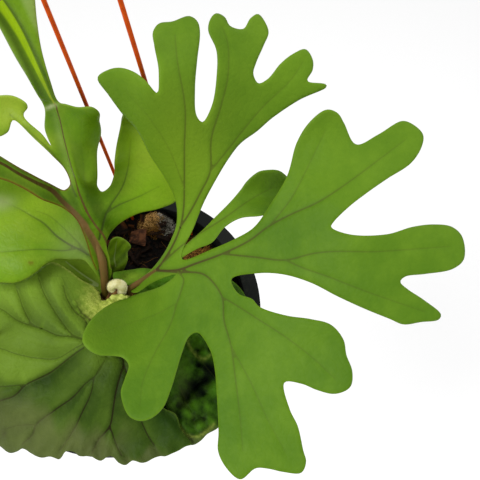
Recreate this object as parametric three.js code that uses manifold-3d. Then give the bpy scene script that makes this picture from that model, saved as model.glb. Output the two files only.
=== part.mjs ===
// Young staghorn fern in a round hanging pot, with a three-strand wire hanger.
// Millimetres, +Z up. The origin is the inside top of the hook, where the hanger
// rests on its rail. The pot's rim lies HANG below it. +Y is the back of the plant.

import * as THREE from 'three';
import { mergeVertices } from 'three/addons/utils/BufferGeometryUtils.js';
import Module from 'manifold-3d';

const wasm = await Module();
wasm.setup();

// Driving dimensions

const HANG = 470;               // hook's inside top down to the pot's rim
const RIM_RADIUS = 75;          // pot's flange, outside
const FLANGE_WIDTH = 8.5;
const FLANGE_THICKNESS = 2.4;
const LIP_DROP = 5;             // flange's turned-down outer lip
const POT_HEIGHT = 104;
const POT_WALL = 1.6;
const COLLAR_DEPTH = 25;        // upright band of the wall, under the flange
const COLLAR_STEP = 1.6;        // wall steps in below its collar
const BASE_RADIUS = 50;
const FOOT_RECESS = 2;          // pot's underside, raised inside its foot ring
const DRAIN_RADIUS = 4;
const DRAIN_CIRCLE = 33;
const DRAINS = 6;
const POT_SIDES = 44;

const WIRE = 1.8;               // hanger wire, over its coating
const STRAND_TURNS = [-2, 33, 248];   // strands round the rim, degrees from the back
const STRAND_HOLE_DEPTH = 21;   // holes in the pot's wall, below the rim
const STRAND_OFF_WALL = 1.4;    // strand's clearance inside the wall
const STRAND_TURN_UP = 9;       // strand's end, bent up outside the wall
const STRAND_AIM = 690;         // height that the strands' lower stretch points at
const TOP_BEND = 7;             // how late they bend in: a power of the climb
const STRAND_STEPS = 12;
const HOOK_WIRE = 3;
const HOOK_BEND = 13;           // inside radius of the hook
const SLEEVE_RADIUS = 5.5;
const SLEEVE_LENGTH = 16;
const SLEEVE_TOP = -58;         // below the hook's inside top
const STRAND_SPREAD = 2.6;      // strands from the sleeve's axis
const SLEEVE_TURNS = [-30, 90, 210];  // strands round the sleeve's axis

const BLADE = 1;                // thickness of a frond's blade
const GAP = 0.35;               // clearance between touching pieces

// Plans of the fronds. Each is drawn as if pressed flat, in its own frame: x to the
// right, y along the frond. lifts are the places that the blade passes through, with
// the height above that flat plan. place and tilt then set the plan on the plant,
// measured from the middle of the pot's rim.

const RIGHT_FROND = {
  place: [5, 4, 15],
  tilt: 30,
  outline: [
    [0, 1], [7, 6], [16, 13], [22, 20], [26, 27], [29, 35], [29, 46], [25, 56], [21, 63],
    [18, 71], [13, 77], [9, 83], [6, 88], [7, 89], [11, 90], [16, 90], [21, 88], [25, 85],
    [27, 82], [29, 81], [30, 83], [30, 88], [28, 98], [27, 104], [29, 108], [31, 109], [34, 109],
    [37, 110], [40, 111], [43, 109], [44, 105], [43, 94], [42, 84], [42, 76], [44, 74], [45, 75],
    [48, 80], [50, 90], [50, 99], [47, 106], [48, 111], [50, 113], [53, 112], [55, 109], [58, 108],
    [60, 109], [63, 114], [66, 116], [69, 113], [70, 110], [68, 104], [65, 97], [64, 93], [66, 90],
    [70, 92], [75, 98], [80, 102], [85, 104], [88, 100], [88, 96], [86, 92], [94, 91], [94, 90],
    [83, 85], [72, 78], [66, 73], [59, 68], [54, 62], [48, 53], [42, 43], [37, 32], [32, 22],
    [32, 18], [46, 23], [57, 28], [65, 33], [72, 43], [79, 55], [83, 69], [88, 77], [95, 82],
    [100, 81], [103, 77], [108, 68], [117, 72], [127, 78], [130, 78], [135, 75], [137, 72], [136, 67],
    [131, 60], [120, 53], [111, 47], [103, 41], [97, 35], [96, 33], [99, 31], [103, 30], [118, 30],
    [129, 33], [138, 34], [146, 33], [150, 29], [151, 24], [150, 20], [145, 16], [133, 14], [125, 13],
    [123, 11], [126, 8], [132, 4], [137, 1], [139, -2], [138, -4], [131, -5], [124, -6], [119, -4],
    [109, 0], [98, 5], [88, 10], [77, 13], [66, 13], [55, 10], [55, 8], [58, 4], [64, 2],
    [67, -1], [78, -4], [88, -5], [96, -7], [99, -11], [101, -13], [102, -19], [104, -25], [103, -31],
    [97, -34], [90, -33], [84, -31], [80, -30], [77, -31], [77, -35], [79, -41], [82, -47], [84, -56],
    [85, -60], [83, -64], [80, -65], [76, -64], [70, -63], [65, -63], [59, -67], [54, -64], [50, -58],
    [50, -51], [49, -37], [48, -28], [46, -21], [43, -16], [40, -14], [36, -16], [33, -23], [31, -30],
    [29, -37], [26, -44], [21, -48], [16, -49], [11, -47], [8, -43], [7, -39], [8, -34], [9, -29],
    [6, -26], [2, -25], [-4, -24], [-9, -21], [-12, -17], [-12, -13], [-11, -10], [-7, -6], [1, -3],
    [12, 1], [23, 6], [29, 11], [25, 10], [16, 6], [4, -1],
  ],
  lifts: [
    [0, 0, -2], [17, 12, 18], [27, 43, 29], [21, 63, 52], [13, 79, 72], [8, 87, 80], [26, 82, 87],
    [31, 107, 80], [40, 108, 80], [51, 110, 77], [67, 112, 68], [57, 71, 57], [92, 90, 60], [41, 17, 35],
    [68, 37, 47], [84, 68, 50], [100, 80, 52], [135, 71, 50], [100, 42, 60], [149, 26, 60], [137, -1, 66],
    [101, 5, 63], [43, 0, 38], [64, 1, 49], [102, -13, 62], [101, -32, 66], [81, -62, 69], [59, -64, 68],
    [46, -16, 45], [21, -46, 53], [8, -43, 50], [-10, -14, 34], [21, 3, 25],
  ],
  stalk: [[0, 0], [9, 6], [18, 12]],
};

const RIGHT_FROND_SIDE_LOBE = {
  place: RIGHT_FROND.place,
  tilt: RIGHT_FROND.tilt,
  outline: [
    [22, 16], [29, 21], [36, 27], [42, 32], [47, 37], [53, 43], [59, 50], [62, 54], [67, 58],
    [71, 59], [77, 59], [82, 56], [85, 52], [82, 46], [77, 41], [68, 38], [59, 37], [52, 33],
    [46, 26], [39, 23], [32, 19], [25, 14],
  ],
  lifts: [...RIGHT_FROND.lifts, [63, 45, 33], [73, 53, 28], [83, 53, 21], [80, 46, 25]],
};

const LEFT_FROND = {
  place: [-8, 3, 10],
  tilt: 65,
  outline: [
    [2, 7], [5, 12], [6, 22], [6, 34], [8, 39], [15, 46], [23, 49], [32, 49], [36, 50],
    [40, 51], [40, 55], [39, 62], [36, 73], [33, 84], [31, 95], [29, 104], [27, 107], [21, 98],
    [17, 86], [15, 77], [13, 68], [11, 64], [8, 63], [7, 67], [9, 75], [10, 86], [12, 92],
    [14, 101], [16, 107], [14, 110], [7, 109], [2, 109], [-1, 109], [-1, 119], [-1, 132], [0, 142],
    [1, 149], [2, 157], [3, 164], [5, 171], [5, 178], [4, 182], [-1, 184], [-5, 182], [-8, 177],
    [-9, 172], [-13, 169], [-17, 169], [-21, 172], [-26, 173], [-31, 171], [-34, 167], [-31, 164], [-25, 160],
    [-21, 155], [-18, 147], [-16, 138], [-14, 127], [-11, 117], [-9, 105], [-12, 94], [-11, 86], [-14, 91],
    [-22, 98], [-19, 102], [-19, 104], [-24, 106], [-31, 106], [-38, 105], [-43, 103], [-45, 99], [-42, 95],
    [-36, 91], [-32, 91], [-29, 92], [-27, 96], [-17, 88], [-11, 80], [-6, 70], [-6, 67], [-8, 66],
    [-11, 68], [-15, 71], [-23, 78], [-31, 84], [-39, 89], [-46, 96], [-52, 103], [-58, 107], [-65, 107],
    [-69, 103], [-67, 97], [-61, 93], [-58, 89], [-61, 87], [-69, 87], [-77, 85], [-79, 81], [-76, 77],
    [-67, 76], [-54, 77], [-42, 79], [-31, 77], [-20, 69], [-9, 57], [-5, 50], [-3, 39], [-2, 25],
    [-1, 14], [-1, 8],
  ],
  lifts: [
    [-1, -1, -2], [1, 18, 0], [1, 35, 1], [0, 52, 2], [-8, 60, 4], [-15, 68, 7], [-24, 76, 8],
    [-31, 81, 8], [-47, 88, 5], [-67, 98, -7], [-70, 81, 10], [-10, 74, -3], [-13, 83, -3], [-19, 93, -5],
    [-27, 101, -10], [-40, 101, -7], [-1, 72, 2], [-2, 92, 4], [-3, 111, 7], [-5, 128, 10], [-6, 142, 12],
    [-9, 157, 13], [-24, 170, 9], [-3, 175, 7], [7, 74, 7], [7, 93, 6], [15, 106, 10], [1, 108, 6],
    [8, 45, -1], [17, 55, -4], [14, 70, -9], [19, 92, -12], [30, 79, -13], [40, 57, -14], [28, 52, -8],
  ],
  stalk: [[-1, 0], [1, 18], [1, 34], [0, 52], [-2, 66], [-2, 82], [-3, 97], [-3, 108], [-3, 122], [-4, 133], [-7, 144], [-8, 154], [-8, 163]],
  left_limb: [[0, 48], [-3, 57], [-10, 64], [-20, 74], [-31, 82], [-43, 86], [-54, 88]],
};

const LEFT_FROND_LOW_BLADE = {
  place: LEFT_FROND.place,
  tilt: 20,
  outline: [
    [1, 6], [-1, 9], [-6, 17], [-12, 17], [-17, 17], [-21, 15], [-28, 8], [-35, 5], [-43, 5],
    [-51, 4], [-59, 7], [-64, 11], [-71, 12], [-79, 11], [-85, 15], [-86, 21], [-82, 27], [-74, 29],
    [-70, 33], [-72, 38], [-80, 44], [-85, 51], [-82, 58], [-73, 60], [-61, 58], [-47, 60], [-32, 53],
    [-20, 46], [-10, 38], [-4, 27], [0, 18], [1, 13], [2, 8],
  ],
  lifts: [
    [0, 3, 0], [0, 16, 15], [-10, 19, 22], [-19, 15, 26], [-28, 8, 30], [-43, 5, 29], [-4, 27, 20],
    [-17, 34, 25], [-30, 39, 29], [-46, 51, 28], [-43, 25, 31], [-62, 25, 32], [-76, 15, 31], [-76, 48, 27],
  ],
};

const LARGE_SHIELD = {
  place: [0, 0, 0],
  tilt: 0,
  outline: [
    [-7, -2], [-11, 5], [-18, 7], [-23, 10], [-31, 13], [-38, 8], [-47, 4], [-58, 4], [-70, 3],
    [-81, -2], [-87, -13], [-90, -28], [-86, -43], [-78, -56], [-67, -66], [-55, -69], [-50, -72], [-45, -72],
    [-41, -71], [-37, -73], [-32, -75], [-26, -75], [-22, -76], [-19, -73], [-15, -73], [-12, -75], [-7, -75],
    [-2, -77], [3, -75], [7, -78], [10, -79], [13, -77], [18, -78], [26, -75], [29, -75], [38, -71],
    [41, -70], [36, -64], [33, -57], [27, -54], [22, -46], [19, -36], [17, -23], [14, -11], [10, -3],
    [6, 1], [1, 0], [-4, -1],
  ],
  lifts: [
    [-8, -27, 27], [-3, -1, 14], [-10, 3, 14], [-18, 6, 23], [-31, 11, 30], [-46, 3, 27], [-58, 3, 24],
    [-75, -6, 14], [-55, -12, 21], [-52, -31, 19], [-51, -51, 10], [-67, -66, -12], [-88, -33, -2], [-52, -71, -9],
    [-33, -74, -2], [-21, -75, 0], [-7, -75, 2], [7, -77, 2], [18, -77, 2], [26, -75, 2], [38, -71, 3],
    [41, -69, 4], [35, -62, 6], [27, -54, 9], [-5, -68, 3], [14, -69, 3], [28, -67, 4], [-22, -68, 3],
    [21, -51, 13], [-2, -52, 17], [-28, -42, 14], [14, -23, 17], [7, -4, 14],
  ],
  veins: [
    [[-8, -27], [-19, -24], [-25, -23], [-32, -20], [-39, -18], [-46, -15], [-55, -9], [-76, 0]],
    [[-32, -20], [-38, -17], [-43, -10], [-48, 0]],
    [[-10, -26], [-17, -23], [-23, -17], [-30, -8], [-34, -2], [-37, 5]],
    [[-9, -24], [-12, -16], [-18, -11], [-23, -4], [-25, 2]],
    [[-8, -21], [-10, -15], [-15, -11], [-18, -7]],
    [[-10, -28], [-23, -33], [-32, -33], [-44, -31], [-53, -28], [-76, -23]],
    [[-10, -30], [-18, -34], [-26, -38], [-33, -41], [-39, -44], [-45, -49], [-52, -51], [-68, -55]],
    [[-39, -44], [-51, -45], [-74, -42]],
    [[0, -35], [-3, -41], [-10, -46], [-17, -51], [-25, -55], [-34, -61], [-36, -65], [-41, -69]],
    [[-34, -61], [-44, -61], [-54, -63]],
    [[0, -35], [-4, -42], [-6, -49], [-12, -58], [-18, -67], [-22, -72]],
    [[3, -31], [8, -35], [6, -46], [4, -55], [2, -62], [-4, -68], [-6, -74]],
    [[2, -62], [5, -70], [8, -75]],
    [[8, -35], [14, -50], [17, -60], [20, -66], [23, -70]],
  ],
};

const RIGHT_SHIELD = {
  place: [0, 0, 0],
  tilt: 0,
  outline: [
    [2, 10], [-3, 11], [-5, 17], [-1, 18], [5, 19], [11, 20], [21, 19], [31, 20], [42, 22],
    [50, 20], [59, 16], [65, 10], [69, 0], [72, -15], [70, -30], [65, -43], [60, -53], [53, -62],
    [48, -65], [45, -68], [41, -70], [35, -68], [32, -63], [30, -57], [26, -51], [19, -42], [12, -31],
    [8, -20], [5, -11], [5, -1], [9, 4], [7, 9],
  ],
  lifts: [
    [-6, 10, 9], [12, 18, 9], [31, 20, 6], [50, 18, 4], [60, 13, 2], [68, 3, 2], [70, -15, 2],
    [67, -34, 2], [61, -48, 2], [53, -62, 0], [47, -66, 1], [41, -69, 1], [37, -70, 1], [33, -64, 2],
    [44, -43, 7], [36, -18, 9], [17, -5, 9], [31, -53, 4], [11, -35, 5], [54, -15, 7],
  ],
};

const LEFT_SHIELD = {
  place: [0, 0, 0],
  tilt: 0,
  outline: [
    [-10, 7], [-11, 13], [-14, 19], [-18, 23], [-24, 27], [-34, 31], [-46, 31], [-56, 27], [-62, 18],
    [-64, 7], [-59, -5], [-47, -14], [-33, -16], [-20, -9], [-15, 1],
  ],
  lifts: [
    [-14, 12, 8], [-23, 19, 11], [-34, 23, 11], [-47, 23, 8], [-59, 10, 3], [-46, -11, 5], [-25, -7, 9],
  ],
};

const BACK_SHIELD = {
  place: [2, 14, 4],
  tilt: 50,
  outline: [
    [-11, 6], [-11, 13], [-8, 23], [-5, 25], [-2, 24], [2, 18], [0, 15], [0, 11], [-2, 6],
    [-5, 1], [-11, -1],
  ],
  lifts: [
    [-9, 7, -6], [-4, 6, -6], [0, 12, -6], [1, 19, -7], [-5, 24, -4], [-10, 19, -4], [-10, 11, -5],
    [-5, 15, -7], [-11, 1, -12], [-5, 0, -11],
  ],
};

// Geometry helpers

const WHEEL = Math.PI * 2;
const radians = (degrees) => (degrees * Math.PI) / 180;

function toManifold(geometry) {
  const bare = geometry.clone();
  bare.deleteAttribute('normal');
  bare.deleteAttribute('uv');
  const merged = mergeVertices(bare, 1e-5);
  return new wasm.Manifold(new wasm.Mesh({
    numProp: 3,
    vertProperties: new Float32Array(merged.attributes.position.array),
    triVerts: new Uint32Array(merged.index.array),
  }));
}

function fromManifold(body) {
  const mesh = body.getMesh();
  const geometry = new THREE.BufferGeometry();
  geometry.setAttribute('position', new THREE.BufferAttribute(new Float32Array(mesh.vertProperties), 3));
  geometry.setIndex(new THREE.BufferAttribute(new Uint32Array(mesh.triVerts), 1));
  return geometry;
}

function joined(...geometries) {
  return fromManifold(geometries.map(toManifold).reduce((sum, body) => sum.add(body)));
}

function cut(geometry, ...tools) {
  return fromManifold(tools.map(toManifold).reduce((rest, tool) => rest.subtract(tool), toManifold(geometry)));
}

// Smooth height over a plan: the least-bent plate that passes through the lifts.
function thinPlate(lifts) {
  const bend = (r) => (r > 0 ? r * r * Math.log(r) : 0);
  const terms = (x, y) => [...lifts.map(([a, b]) => bend(Math.hypot(x - a, y - b))), 1, x, y];
  const size = lifts.length + 3;
  const rows = lifts.map(([x, y, height]) => [...terms(x, y), height]);
  for (const row of [() => 1, ([x]) => x, ([, y]) => y]) {
    rows.push([...lifts.map(row), 0, 0, 0, 0]);
  }
  for (let pivot = 0; pivot < size; pivot += 1) {
    let best = pivot;
    for (let i = pivot; i < size; i += 1) {
      if (Math.abs(rows[i][pivot]) > Math.abs(rows[best][pivot])) best = i;
    }
    [rows[pivot], rows[best]] = [rows[best], rows[pivot]];
    for (let i = 0; i < size; i += 1) {
      if (i === pivot) continue;
      const share = rows[i][pivot] / rows[pivot][pivot];
      for (let j = pivot; j <= size; j += 1) rows[i][j] -= share * rows[pivot][j];
    }
  }
  const weights = rows.map((row, i) => row[size] / row[i]);
  return (x, y) => terms(x, y).reduce((sum, term, i) => sum + term * weights[i], 0);
}

// Smooth closed outline through hand-placed points, as evenly spaced [x, y] points.
function ring(outline, spacing, grow = 0) {
  const curve = new THREE.CatmullRomCurve3(
    outline.map(([x, y]) => new THREE.Vector3(x, y, 0)), true, 'centripetal');
  curve.arcLengthDivisions = outline.length * 12;
  const points = curve.getSpacedPoints(Math.round(curve.getLength() / spacing)).slice(0, -1);
  const turn = THREE.ShapeUtils.isClockWise(points) ? -1 : 1;
  return points.map((point, i) => {
    const before = points[(i + points.length - 1) % points.length];
    const after = points[(i + 1) % points.length];
    const run = Math.hypot(after.x - before.x, after.y - before.y);
    return [
      point.x + (turn * grow * (after.y - before.y)) / run,
      point.y - (turn * grow * (after.x - before.x)) / run,
    ];
  });
}

function circle(x, y, radius, sides) {
  return Array.from({ length: sides }, (_, i) => [
    x + radius * Math.cos((WHEEL * i) / sides), y + radius * Math.sin((WHEEL * i) / sides)]);
}

function isInside(rings, x, y) {
  let inside = false;
  for (const points of rings) {
    points.forEach(([ax, ay], i) => {
      const [bx, by] = points[(i + 1) % points.length];
      if ((ay > y) !== (by > y) && x < ax + ((y - ay) * (bx - ax)) / (by - ay)) inside = !inside;
    });
  }
  return inside;
}

// Points along hand-drawn lines such as veins, at even steps.
function along(line, spacing) {
  const curve = new THREE.CatmullRomCurve3(line.map(([x, y]) => new THREE.Vector3(x, y, 0)));
  return curve.getSpacedPoints(Math.max(1, Math.round(curve.getLength() / spacing))).map((p) => [p.x, p.y]);
}

// Triangles over a plan: its rings, the points of its lines, and a staggered grid
// between them, joined so that no point lies in another triangle's circle.
function fill(rings, lines, spacing) {
  const points = rings.flat();
  const far = (x, y, reach) => points.every(([a, b]) => Math.hypot(a - x, b - y) > reach);
  for (const line of lines) {
    for (const [x, y] of along(line, spacing)) {
      if (isInside(rings, x, y) && far(x, y, spacing * 0.55)) points.push([x, y]);
    }
  }
  const xs = points.map(([x]) => x);
  const ys = points.map(([, y]) => y);
  const rowStep = spacing * Math.sqrt(0.75);
  for (let row = 0, y = Math.min(...ys); y < Math.max(...ys); row += 1, y += rowStep) {
    for (let x = Math.min(...xs) + (row % 2) * spacing * 0.5; x < Math.max(...xs); x += spacing) {
      const nudge = Math.sin(x * 7.1 + y * 3.7) * spacing * 0.02;
      if (isInside(rings, x, y) && far(x, y, spacing * 0.7)) points.push([x + nudge, y - nudge]);
    }
  }
  return { points, triangles: delaunay(points, rings) };
}

function delaunay(points, rings) {
  const reach = 1e4;
  const all = [...points, [-reach, -reach], [reach, -reach], [0, reach]];
  const triangle = (a, b, c) => {
    const [[ax, ay], [bx, by], [cx, cy]] = [all[a], all[b], all[c]];
    const twice = 2 * (ax * (by - cy) + bx * (cy - ay) + cx * (ay - by));
    const [a2, b2, c2] = [ax * ax + ay * ay, bx * bx + by * by, cx * cx + cy * cy];
    const x = (a2 * (by - cy) + b2 * (cy - ay) + c2 * (ay - by)) / twice;
    const y = (a2 * (cx - bx) + b2 * (ax - cx) + c2 * (bx - ax)) / twice;
    return { corners: [a, b, c], x, y, radius: Math.hypot(ax - x, ay - y) };
  };
  const count = points.length;
  let triangles = [triangle(count, count + 1, count + 2)];
  for (let i = count - 1; i >= 0; i -= 1) {
    const [x, y] = points[i];
    const edges = new Map();
    triangles = triangles.filter((t) => {
      if (Math.hypot(x - t.x, y - t.y) >= t.radius) return true;
      t.corners.forEach((a, k) => {
        const b = t.corners[(k + 1) % 3];
        if (!edges.delete(`${b},${a}`)) edges.set(`${a},${b}`, [a, b]);
      });
      return false;
    });
    for (const [a, b] of edges.values()) triangles.push(triangle(a, b, i));
  }
  return triangles.map((t) => t.corners).filter((corners) => {
    if (Math.max(...corners) >= count) return false;
    const [x, y] = [0, 1].map((axis) => corners.reduce((sum, c) => sum + points[c][axis], 0) / 3);
    return isInside(rings, x, y);
  });
}

// Closed solid between an upper and a lower surface over one triangulated plan, so
// that both faces are split alike.
function slab({ points, triangles }, upper, lower) {
  const count = points.length;
  const vertices = [...points.map(upper), ...points.map(lower)].flatMap((p) => [p.x, p.y, p.z]);
  const edges = new Set(triangles.flatMap(([a, b, c]) => [`${a},${b}`, `${b},${c}`, `${c},${a}`]));
  const faces = triangles.flatMap(([a, b, c]) => [a, b, c, a + count, c + count, b + count]);
  for (const edge of edges) {
    const [a, b] = edge.split(',').map(Number);
    if (!edges.has(`${b},${a}`)) faces.push(a + count, b + count, b, a + count, b, a);
  }
  const geometry = new THREE.BufferGeometry();
  geometry.setAttribute('position', new THREE.Float32BufferAttribute(vertices, 3));
  geometry.setIndex(faces);
  return geometry;
}

// Frond's blade from its plan: bent to its lifts, grooved along its veins, and turned
// into place. grow swells it all round, to cut its seat out of a neighbour.
function blade(plan, { spacing = 6, grow = 0, holes = [], groove = 0, width = 3, sink = 0 } = {}) {
  const height = thinPlate(plan.lifts);
  const veins = plan.veins ?? [];
  const veinPoints = veins.flatMap((line) => along(line, 1));
  const bent = (x, y) => {
    const near = Math.min(...veinPoints.map(([a, b]) => Math.hypot(a - x, b - y)), 99);
    return height(x, y) - sink - groove * Math.exp(-((near / width) ** 2));
  };
  const rings = [ring(plan.outline, spacing * 0.7, grow), ...holes];
  const step = 0.5;
  const side = (sign) => ([x, y]) => {
    const slopeX = (bent(x + step, y) - bent(x - step, y)) / (2 * step);
    const slopeY = (bent(x, y + step) - bent(x, y - step)) / (2 * step);
    const normal = new THREE.Vector3(-slopeX, -slopeY, 1).normalize();
    return new THREE.Vector3(x, y, bent(x, y)).addScaledVector(normal, sign * (BLADE / 2 + grow));
  };
  return slab(fill(rings, veins, spacing), side(1), side(-1))
    .rotateX(radians(plan.tilt)).translate(...plan.place);
}

// Point on a blade's middle surface, on the plant.
function onBlade(plan, [x, y], below = 0) {
  const point = new THREE.Vector3(x, y, thinPlate(plan.lifts)(x, y) - below);
  return point.applyEuler(new THREE.Euler(radians(plan.tilt), 0, 0)).add(new THREE.Vector3(...plan.place));
}

// Stalk, wire or bud: a round section that follows a curve, with its radius at each
// of the curve's points. grow swells it all round.
function stem(points, radii, { sides = 8, grow = 0 } = {}) {
  const curve = new THREE.CatmullRomCurve3(points);
  const steps = (points.length - 1) * 2;
  const vertices = [];
  const side = new THREE.Vector3(0.31, 0.84, -0.45);
  for (let i = 0; i <= steps; i += 1) {
    const tangent = curve.getTangent(i / steps);
    const beyond = { 0: -grow, [steps]: grow }[i] ?? 0;
    const centre = curve.getPoint(i / steps).addScaledVector(tangent, beyond);
    side.addScaledVector(tangent, -side.dot(tangent)).normalize();
    const across = tangent.clone().cross(side);
    const radius = (radii[Math.floor(i / 2)] + radii[Math.ceil(i / 2)]) / 2 + grow;
    for (let k = 0; k < sides; k += 1) {
      const turn = (WHEEL * k) / sides;
      const corner = centre.clone()
        .addScaledVector(side, radius * Math.cos(turn))
        .addScaledVector(across, radius * Math.sin(turn));
      vertices.push(corner.x, corner.y, corner.z);
    }
  }
  const faces = [];
  for (let i = 0; i < steps; i += 1) {
    for (let k = 0; k < sides; k += 1) {
      const [a, b] = [i * sides + k, i * sides + ((k + 1) % sides)];
      faces.push(a, b, b + sides, a, b + sides, a + sides);
    }
  }
  for (let k = 1; k < sides - 1; k += 1) {
    const end = steps * sides;
    faces.push(0, k + 1, k, end, end + k, end + k + 1);
  }
  const geometry = new THREE.BufferGeometry();
  geometry.setAttribute('position', new THREE.Float32BufferAttribute(vertices, 3));
  geometry.setIndex(faces);
  return geometry;
}

function peg(radius, length, sides = 24) {
  return new THREE.CylinderGeometry(radius, radius, length, sides).rotateX(Math.PI / 2);
}

// Seeded draw between 0 and 1, so that the scattered chips are the same each time.
function seeded(seed) {
  let state = seed;
  return () => {
    state = (state * 16807) % 2147483647;
    return state / 2147483647;
  };
}

// Hanging pot: tapered shell with a flat flange, turned-down lip, drain holes and a
// small hole under the flange for each strand.

function innerWall(depth) {
  const mouth = RIM_RADIUS - FLANGE_WIDTH;
  if (depth <= COLLAR_DEPTH) return mouth;
  const taper = (mouth - COLLAR_STEP - BASE_RADIUS + POT_WALL) / (POT_HEIGHT - COLLAR_DEPTH);
  return mouth - COLLAR_STEP - taper * (depth - COLLAR_DEPTH);
}

function pot() {
  const outerWall = (depth) => innerWall(depth) + POT_WALL;
  const lipInside = RIM_RADIUS - POT_WALL;
  const floor = POT_HEIGHT - FOOT_RECESS - POT_WALL;
  const footInside = BASE_RADIUS - 4;
  const profile = [
    [0, -floor],
    [innerWall(floor), -floor],
    [innerWall(COLLAR_DEPTH + COLLAR_STEP), -COLLAR_DEPTH - COLLAR_STEP],
    [innerWall(COLLAR_DEPTH), -COLLAR_DEPTH],
    [innerWall(0), -1],
    [innerWall(0) + 1, 0],
    [RIM_RADIUS - 0.6, 0],
    [RIM_RADIUS, -0.6],
    [RIM_RADIUS, -LIP_DROP],
    [lipInside, -LIP_DROP],
    [lipInside, -FLANGE_THICKNESS],
    [outerWall(FLANGE_THICKNESS), -FLANGE_THICKNESS],
    [outerWall(COLLAR_DEPTH), -COLLAR_DEPTH - 0.6],
    [outerWall(COLLAR_DEPTH + COLLAR_STEP), -COLLAR_DEPTH - COLLAR_STEP - 0.6],
    [outerWall(POT_HEIGHT), -POT_HEIGHT],
    [footInside, -POT_HEIGHT],
    [footInside, -floor - POT_WALL],
    [0, -floor - POT_WALL],
  ].reverse().map(([x, z]) => new THREE.Vector2(x, z));
  const shell = new THREE.LatheGeometry(profile, POT_SIDES).rotateX(Math.PI / 2);
  const drains = Array.from({ length: DRAINS }, (_, i) => {
    const turn = (WHEEL * i) / DRAINS;
    return peg(DRAIN_RADIUS, 12, 16)
      .translate(DRAIN_CIRCLE * Math.cos(turn), DRAIN_CIRCLE * Math.sin(turn), -floor);
  });
  const strandHoles = STRAND_TURNS.map((turn) => peg(WIRE / 2 + 2 * GAP, 10, 10)
    .rotateX(Math.PI / 2)
    .translate(0, innerWall(STRAND_HOLE_DEPTH) + POT_WALL / 2, -STRAND_HOLE_DEPTH)
    .rotateZ(-radians(turn)));
  return cut(shell, ...drains, ...strandHoles);
}

// Strand's axis: distance from the hanger's axis at a height over the rim. It aims
// straight at STRAND_AIM low down and bends in to the sleeve near the top.
const SLEEVE_MOUTH = HANG + SLEEVE_TOP - SLEEVE_LENGTH;
const STRAND_MEET = SLEEVE_MOUTH - 9;
const STRAND_INSET = innerWall(STRAND_HOLE_DEPTH) - WIRE / 2 - STRAND_OFF_WALL;

function strandRadius(height) {
  const climb = (height + STRAND_HOLE_DEPTH) / (STRAND_MEET + STRAND_HOLE_DEPTH);
  const straight = (STRAND_MEET + STRAND_HOLE_DEPTH) / (STRAND_AIM + STRAND_HOLE_DEPTH);
  return STRAND_INSET * (1 - straight * climb - (1 - straight) * climb ** TOP_BEND);
}

function aroundHanger(turn, radius, height) {
  const angle = radians(turn);
  return new THREE.Vector3(radius * Math.sin(angle), radius * Math.cos(angle), height);
}

function strand(turn, i) {
  const out = innerWall(STRAND_HOLE_DEPTH) + POT_WALL + WIRE / 2 + GAP;
  const low = -STRAND_HOLE_DEPTH;
  const points = [
    [out, low + STRAND_TURN_UP],
    [out, low + 3],
    [out - 0.3, low + 0.9],
    [out - 1.4, low],
    [STRAND_INSET + 1.9, low],
    [STRAND_INSET + 0.6, low + 0.6],
  ].map(([radius, height]) => aroundHanger(turn, radius, height));
  for (let step = 0; step <= STRAND_STEPS; step += 1) {
    const climb = step / STRAND_STEPS;
    const height = low + 4 + (STRAND_MEET - low - 4) * climb;
    points.push(aroundHanger(turn, strandRadius(height), height)
      .add(aroundHanger(SLEEVE_TURNS[i], STRAND_SPREAD * climb ** TOP_BEND, 0)));
  }
  points.push(aroundHanger(SLEEVE_TURNS[i], STRAND_SPREAD, SLEEVE_MOUTH - 4));
  points.push(aroundHanger(SLEEVE_TURNS[i], STRAND_SPREAD, SLEEVE_MOUTH + SLEEVE_LENGTH * 0.6));
  return stem(points, points.map(() => WIRE / 2), { sides: 6 });
}

// Hook: thick wire bent over the rail, with its shank in a crimped sleeve that has a
// blind hole for each strand.
function hook() {
  const radius = HOOK_BEND + HOOK_WIRE / 2;
  const centre = -HOOK_BEND;
  const points = [];
  for (let angle = 200; angle >= -60; angle -= 20) {
    points.push(new THREE.Vector3(
      radius * Math.cos(radians(angle)), 0, centre + radius * Math.sin(radians(angle))));
  }
  points.push(new THREE.Vector3(1.5, 0, centre - radius - 3));
  points.push(new THREE.Vector3(0, 0, centre - radius - 9));
  points.push(new THREE.Vector3(0, 0, SLEEVE_TOP - 4));
  const wire = stem(points, points.map(() => HOOK_WIRE / 2));
  const sleeve = new THREE.LatheGeometry([
    [0, -SLEEVE_LENGTH], [SLEEVE_RADIUS - 0.8, -SLEEVE_LENGTH], [SLEEVE_RADIUS, -SLEEVE_LENGTH + 0.8],
    [SLEEVE_RADIUS, -1.6], [SLEEVE_RADIUS - 2.4, 0], [0, 0],
  ].map(([x, z]) => new THREE.Vector2(x, z)), 24).rotateX(Math.PI / 2).translate(0, 0, SLEEVE_TOP);
  const bores = SLEEVE_TURNS.map((turn) => peg(WIRE / 2 + GAP + 0.1, SLEEVE_LENGTH * 0.7 + 1, 12)
    .translate(...aroundHanger(turn, STRAND_SPREAD, SLEEVE_TOP - SLEEVE_LENGTH * 0.65 - 0.5)));
  return cut(joined(wire, sleeve), ...bores);
}

// Growing mix: coarse bark mix that fills the pot, mounded under the plant, with bark
// chips pressed into it and a slot at the wall for each strand.

const CROWN = new THREE.Vector3(-1, 2, 2);      // middle of the rhizome
const CROWN_SIZE = new THREE.Vector3(12, 9, 11);
const MIX_DEPTH = 11;           // mix at the pot's wall, below the rim
const MOUND = 12;
const MOUND_WIDTH = 30;
const MIX_SLOT = 3.2;
const CHIPS = 18;

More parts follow.
